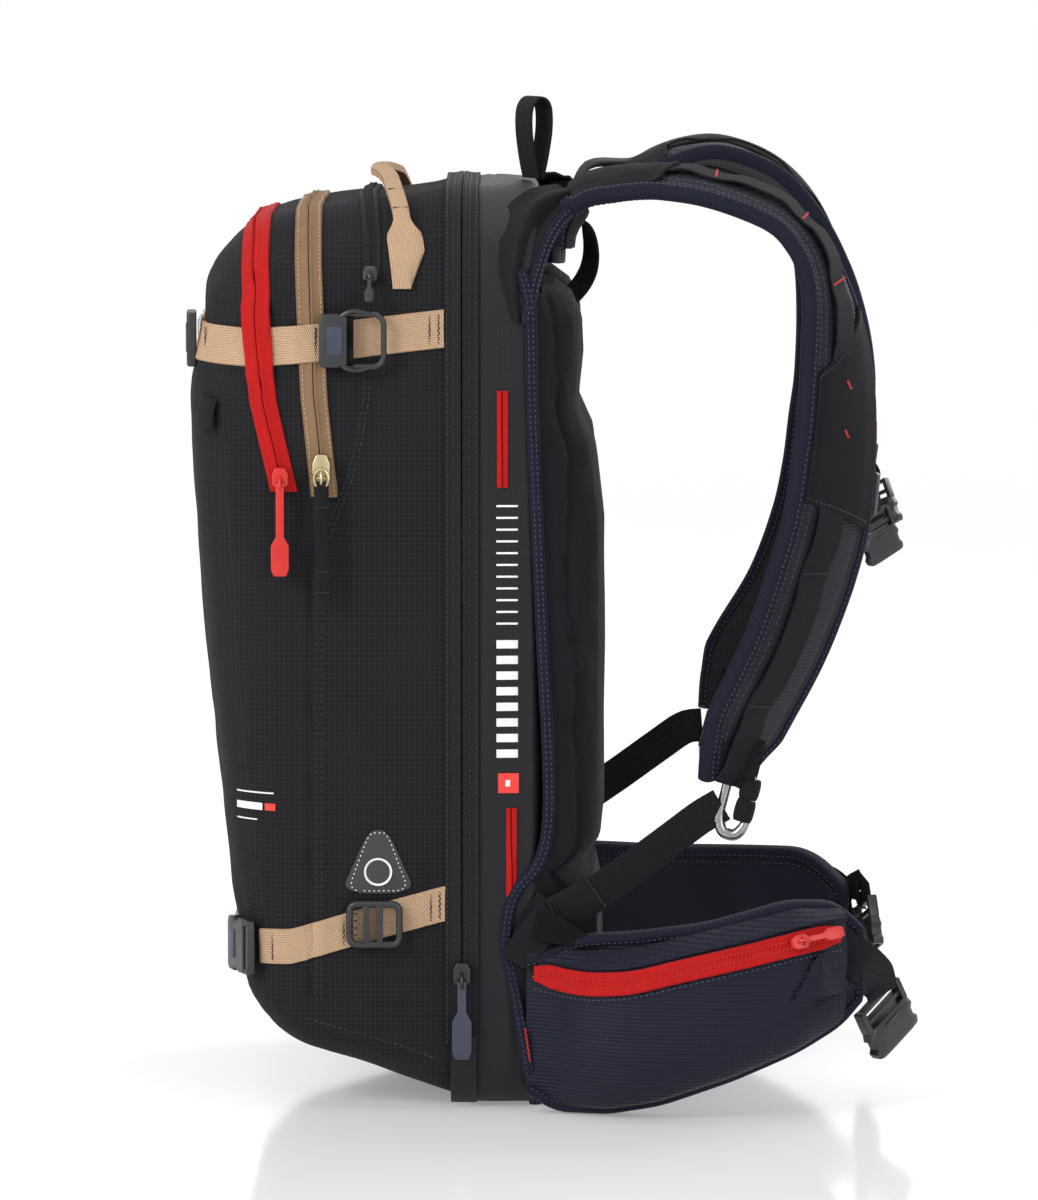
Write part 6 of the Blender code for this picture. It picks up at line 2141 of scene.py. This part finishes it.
def zip_bridges():
    """The little bridge over each slider that its pull hangs from."""
    for joint in frame["joints"]:
        if not joint["name"].endswith("_pull_swing"):
            continue
        prefix = joint["name"][: -len("_pull_swing")]
        pivot, axis = Vector(joint["pos_m"]), Vector(joint["axis"]).normalized()
        low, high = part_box(prefix + "_pull")
        reach = (Vector(low) + Vector(high)) / 2 - pivot
        down = (reach - axis * reach.dot(axis)).normalized()
        outward = down.cross(axis).normalized()
        if outward.x < 0:
            outward = -outward
        size = 0.0036 if prefix in ("tan_zip", "main_zip") else 0.0030
        arc = [pivot - outward * 0.0022 + down * size * 1.25 * cos(a) + outward * (size * 1.35 * sin(a))
               for a in (pi * k / 12 for k in range(13))]
        look = {"red_zip": "red_plastic", "hip_zip": "red_plastic",
                "tan_zip": "brass"}.get(prefix, "black_metal")
        tube(prefix + "_bridge", arc, 0.0009, look, prefix + "_slider", 8)
        bar = [pivot + axis * t for t in (-0.0026, 0.0026)]
        tube(prefix + "_pin", bar, 0.0008, look, prefix + "_pull", 8)


# From the inflator up inside the back panel and out through the port.
HOSE_INSIDE = ((-0.0600, -0.0270, 0.306), (-0.0630, -0.0310, 0.345), (-0.0560, -0.0270, 0.385),
               (-0.0380, -0.018, 0.430), (-0.0300, -0.008, 0.4680), (-0.0300, 0.014, 0.478),
               (-0.0310, 0.0260, 0.4840), (-0.0360, 0.0340, 0.5030), (-0.0480, 0.0440, 0.5240))
TRIGGER_GRIP = (-0.1249, 0.2018, 0.3985)


def trigger_hose(strap):
    """The cable cover from the inflator, through its port and down the left shoulder strap."""
    run = [strap.on_face(k / 2, 0.0, 0.0022)[0] for k in range(7, 19)]
    path = resampled(smooth_path([*HOSE_INSIDE, *run, TRIGGER_GRIP], 5), 0.004)
    piece = tube("trigger_hose", path, 0.0028, "black_rubber", BACK, 12)
    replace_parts(piece, "trigger_cable")


def front_tab(tree):
    """The folded webbing tab below the upper front buckle."""
    point, along, outward = surface_frame(tree, 31.0, 0.401)
    reach = (along * 0.10 - UP * 0.99).normalized()
    knots = [point + outward * 0.0014, point + reach * 0.008 + outward * 0.0034,
             point + reach * 0.017 + outward * 0.0030]
    points = resampled(smooth_path(knots, 6), 0.002)
    ribbon("front_tab_web", points, along + UP * 0.15, 0.0150, 0.0030, "black_web", FRONT, ROUND_PROFILE)


def zip_garages():
    """Cloth tabs that cover the corners below the two ends of the perimeter zip."""
    for side, word in SIDES:
        outline = [(x, max(z, 0.0024)) for x, z in perimeter(-0.0020, 0.0, 0.004) if x > 0.118 and z < 0.044]
        points = [Vector((side * x, ZIP_Y + 0.001, z)) for x, z in outline]
        ribbon(f"zip_garage_{word}", points, AHEAD, 0.0150, 0.0015, "coated", BACK)


ANCHOR_ROUTE = ((0.1425, 0.0030, 0.0840), (0.1440, 0.0090, 0.0950), (0.1455, 0.0170, 0.1060),
                (0.1450, 0.0230, 0.1135))


def anchor_flap(side, word):
    """The folded webbing that ties the lower strap to the pack's corner and the belt's root."""
    points = resampled(smooth_path([mirrored(knot, side) for knot in ANCHOR_ROUTE], 6), 0.003)
    ribbon(f"anchor_web_{word}", points, Vector((side * 0.12, 0.86, -0.50)), 0.0200, 0.0018,
           "black_web", BACK)
    rows = []
    for t in shares(12):
        top = Vector((0.1455, 0.0150 + 0.034 * t, 0.1150 - 0.020 * t**1.4))
        foot = Vector((0.1478, 0.0125 + 0.037 * t, 0.0985 - 0.006 * t))
        row = []
        for u in shares(8):
            p = top.lerp(foot, u)
            p.x += 0.0016 * sin(pi * u) * (1 - t) + 0.0007 * fold(p, 0.010, 77.0)
            row.append(mirrored(p, side))
        rows.append(row if side > 0 else row[::-1])
    patch(f"anchor_flap_{word}", rows[::-1], 0.0018, "black_web", BACK)


# ---------------------------------------------------------------- clips, pulls and tabs
CLIP_SHAPE = ((-0.16, 0.75, 0.18), (-0.06, 0.89, 0.225), (0.20, 0.95, 0.25), (0.34, 0.84, 0.25),
              (0.60, 0.84, 0.25), (0.75, 0.94, 0.25), (0.94, 0.90, 0.25), (0.98, 0.86, 0.23),
              (0.98, 0.74, 0.15), (0.40, 0.72, 0.14))


def clip(name, centre, fall, wide, size, long):
    """A buckle's socket half: hollow mouth, pinched sides, and the bars that its webbing runs round."""
    fall = fall.normalized()
    wide = (wide - fall * wide.dot(fall)).normalized()
    normal = fall.cross(wide).normalized()

    def place(a, b, c):
        return centre + fall * a * long + wide * b + normal * c

    look = "black_plastic"
    rings = [[place(along * size, across * size * u, deep * size * v) for u, v in rounded_loop(32, 6)]
             for along, across, deep in CLIP_SHAPE]
    piece = loft(name + "_socket", rings, look, name, angle=35)
    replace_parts(piece, name)
    for k, a in enumerate((-0.86, -0.42)):
        prism(f"{name}_bar{k}", rounded_rectangle(size * 0.075, size * 0.84, 0.0008, 3, (size * a, 0)), place,
              -size * 0.13, size * 0.10, look, name, 0.0006)
    for turn in (-1, 1):
        arm = rounded_rectangle(size * 0.44, size * 0.085, 0.0008, 3, (-size * 0.50, turn * size * 0.80))
        prism(f"{name}_arm{turn + 1}", arm, place, -size * 0.17, size * 0.17, look, name, 0.0007)
    rib = rounded_rectangle(size * 0.05, size * 0.30, 0.0005, 2, (size * 0.02, 0))
    prism(f"{name}_rib", rib, place, size * 0.20, size * 0.275, look, name, 0.0004)


def pivot_of(body):
    """Where a body turns: its hinge's place."""
    return Vector(next(j["pos_m"] for j in frame["joints"] if j["child"] == body))


def clips():
    """The buckles that hang from the hip belt and the sternum strap, and the sternum's webbing."""
    for name, wide, size, long, tilt in (
        ("hip_buckle_right", Vector((-0.70, 0.70, 0)), 0.0205, 0.80, radians(32)),
        ("hip_buckle_left", Vector((0.95, 0.30, 0)), 0.0175, 0.9, radians(24)),
        ("sternum_right_buckle", Vector((-0.60, 0.80, 0)), 0.0140, 1.0, radians(24)),
        ("sternum_left_buckle", Vector((0.60, 0.80, 0)), 0.0140, 1.0, radians(24)),
    ):
        pivot = pivot_of(name)
        wide = wide.normalized()
        fall = -UP * cos(tilt) + wide * sin(tilt)
        shift = AHEAD * (-0.0030 if name == "hip_buckle_right" else 0.0)
        clip(name, pivot + shift + fall * size * 0.86 * long, fall, wide * cos(tilt) + UP * sin(tilt), size,
             long)
    for word in ("right", "left"):
        low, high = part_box(f"sternum_{word}_slider")
        start, end = (Vector(low) + Vector(high)) / 2, pivot_of(f"sternum_{word}_buckle")
        middle = (start + end) / 2 + Vector((0, 0.003, -0.001))
        points = resampled(smooth_path([start, middle, end], 5), 0.0015)
        wide = Vector((-0.5 if word == "right" else 0.5, 0.55, 0.6))
        ribbon(f"sternum_web_{word}", points, wide, 0.0140, 0.0014, "black_web",
               f"sternum_{word}_slider")


TAN_PULL_ROUTE = ((0.1500, -0.1060, 0.3560), (0.1508, -0.1058, 0.3400), (0.1512, -0.1052, 0.3150),
                  (0.1508, -0.1045, 0.2890))


def webbing_pull():
    """The tan zip's pull: a metal ring with a folded strip of webbing."""
    points = resampled(smooth_path(TAN_PULL_ROUTE, 6), 0.003)
    piece = ribbon("tan_pull_web", points, AHEAD, 0.0082, 0.0026, "black_web", "tan_zip_pull", ROUND_PROFILE)
    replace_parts(piece, "tan_zip_pull")
    rows = []
    for z in (0.3420, 0.3060, 0.2945):
        base = Vector((0.1525, -0.1052, z))
        rows.append((base - AHEAD * 0.0036, base + AHEAD * 0.0036, UP * 0.0009, RIGHT))
    zigzag("tan_pull_tacks", rows, "black_thread", "tan_zip_pull", 7, (0.0007, 0.0006))
    top = Vector(TAN_PULL_ROUTE[0])
    ring = [top + AHEAD * 0.0040 * cos(a) + UP * (0.0020 + 0.0052 * sin(a)) + RIGHT * 0.0002
            for a in (2 * pi * k / 28 for k in range(28))]
    tube("tan_pull_ring", ring, 0.0011, "brass", "tan_zip_pull", 8, closed=True)


TAB_Y, TAB_TOP = 0.1690, 0.0940


def hip_tab():
    """The little folded cloth tab at the front end of the pocket's zip."""
    sections = pocket_sections()
    rows = []
    for t in shares(10):
        row = []
        for u in shares(8):
            y = TAB_Y + (u - 0.5) * 0.036 * (0.16 + 0.84 * t) + 0.002 * t
            face, depth, _, _, _, outward, _ = min(sections, key=lambda k: abs(k[0].y - y))
            z = TAB_TOP - 0.0240 * t + 0.0035 * t * (u - 0.5)
            crease = 0.0024 * bell(u - 0.5, 0.16) * t + 0.0008 * fold((y, z, 0), 0.008, 79.0)
            row.append(face + outward * (depth + 0.0022 + crease) + UP * z)
        rows.append(row)
    if (rows[0][-1] - rows[0][0]).cross(rows[1][0] - rows[0][0]).x < 0:
        rows = [row[::-1] for row in rows]
    patch("hip_tab", rows, 0.0016, "navy_ribs", "hip_wing_right")


def piping_tack():
    """The red zigzag that closes the piping's lower end."""
    for side, word in SIDES:
        start, end = (Vector((side * (half_width_at(z) + 0.0108), between(z, PIPING) + 0.0030, z))
                      for z in (0.048, 0.029))
        zigzag(f"piping_tack_{word}", [(start, end, AHEAD * 0.0013, Vector((side, 0, 0)))], "red_thread",
               BACK, 14, BOLD_TACK)


# ---------------------------------------------------------------- inside the pack
def pleat(share):
    """Depth, from 0 to 1, of three round pleats across a packed airbag's face."""
    return 1 - abs(sin(pi * 3 * share)) ** 0.6


def folded_airbags():
    """Both airbags packed in the band: cloth folded in pleats that run round it."""
    section = [(0.0055 + 0.0190 * s, -0.0205 + 0.0060 * pleat(s)) for s in shares(24)]
    section += [(0.0255 - 0.0050 * pleat(s), -0.0150 + 0.0220 * s) for s in shares(24)]
    section += [(0.0200 - 0.0145 * k / 3, 0.0070) for k in range(4)]
    section = section[::-1]
    outlines = [perimeter(inset, 0.0, 0.005) for inset, _ in section]
    first = next(i for i, (x, z) in enumerate(outlines[0]) if x > 0 and z > 0.079)
    last = max(i for i, (x, _) in enumerate(outlines[0]) if x > 0.013)
    for side, word in SIDES:
        rings = []
        for i in range(first, last + 1):
            ring = []
            for k, (inset, y) in enumerate(section):
                x, z = outlines[k][i]
                slack = 0.0007 * fold((x, z, inset * 3), 0.018, 83.0) if y < 0 else 0.0
                ring.append(Vector((side * x, y + slack, z)))
            rings.append(ring)
        piece = loft(f"airbag_{word}_folds", rings, "airbag", BACK)
        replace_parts(piece, f"airbag_{word}")


SLEEVE_HALF, SLEEVE_LENGTH = 0.0845, 0.324
SLEEVE_Y, SLEEVE_FOOT = -0.1210, 0.0755


def tool_pocket():
    """The sewn cloth sleeve for shovel and probe inside the front shell."""
    rows = []
    for t in shares(40):
        row = []
        for u in shares(30):
            s = u * 2 - 1
            slack = 0.0045 * t**3 * (1 - s * s)
            ripple = 0.0004 * fold((s * 0.08, t * 0.3, 0), 0.03, 89.0)
            row.append(Vector((SLEEVE_HALF * s, SLEEVE_Y + slack + ripple, SLEEVE_FOOT + SLEEVE_LENGTH * t)))
        rows.append(row)
    piece = patch("tool_sleeve_cloth", rows[::-1], 0.0010, "navy", FRONT)
    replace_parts(piece, "tool_sleeve")
    top = [p + AHEAD * 0.0002 for p in rows[-1]]
    bound_edge("tool_sleeve_binding", top, UP, 0.0100, 0.0026, FRONT, rows=(-0.4,))
    runs = []
    for column in (1, 11, 20, 29):
        runs.append([(row[column] + AHEAD * 0.0003, AHEAD) for row in rows])
    stitches("tool_sleeve_stitches", runs, "tan_thread", FRONT, length=0.0030, gap=0.0016)


def build():
    camera_and_light()
    front_tree = front_cloth()
    band_tree = band_cloth()
    pocket_zips(front_tree)
    main_zip()
    compression_straps(front_tree)
    grab_handle(front_tree)
    seam_stitches(front_tree)
    band_stitches(band_tree)
    band_marks(band_tree)
    side_patch(front_tree)
    strap_buckles(front_tree)
    front_tab(front_tree)
    edge_piping()
    piping_tack()
    zip_garages()
    back_padding()
    back_gusset()
    for side, word in SIDES:
        strap = Strap(side)
        strap_pad(strap, word)
        strap_root(strap, word)
        strap_details(strap, word)
        lower_webbing(side, word)
        anchor_flap(side, word)
        strap_hook(side, word)
        hip_wing(side, word)
    trigger_hose(strap)
    yokes()
    hip_pocket()
    hip_zip()
    hip_tab()
    tip_webbing()
    loops()
    zip_bridges()
    clips()
    webbing_pull()
    folded_airbags()
    tool_pocket()
    hard_parts()


build()
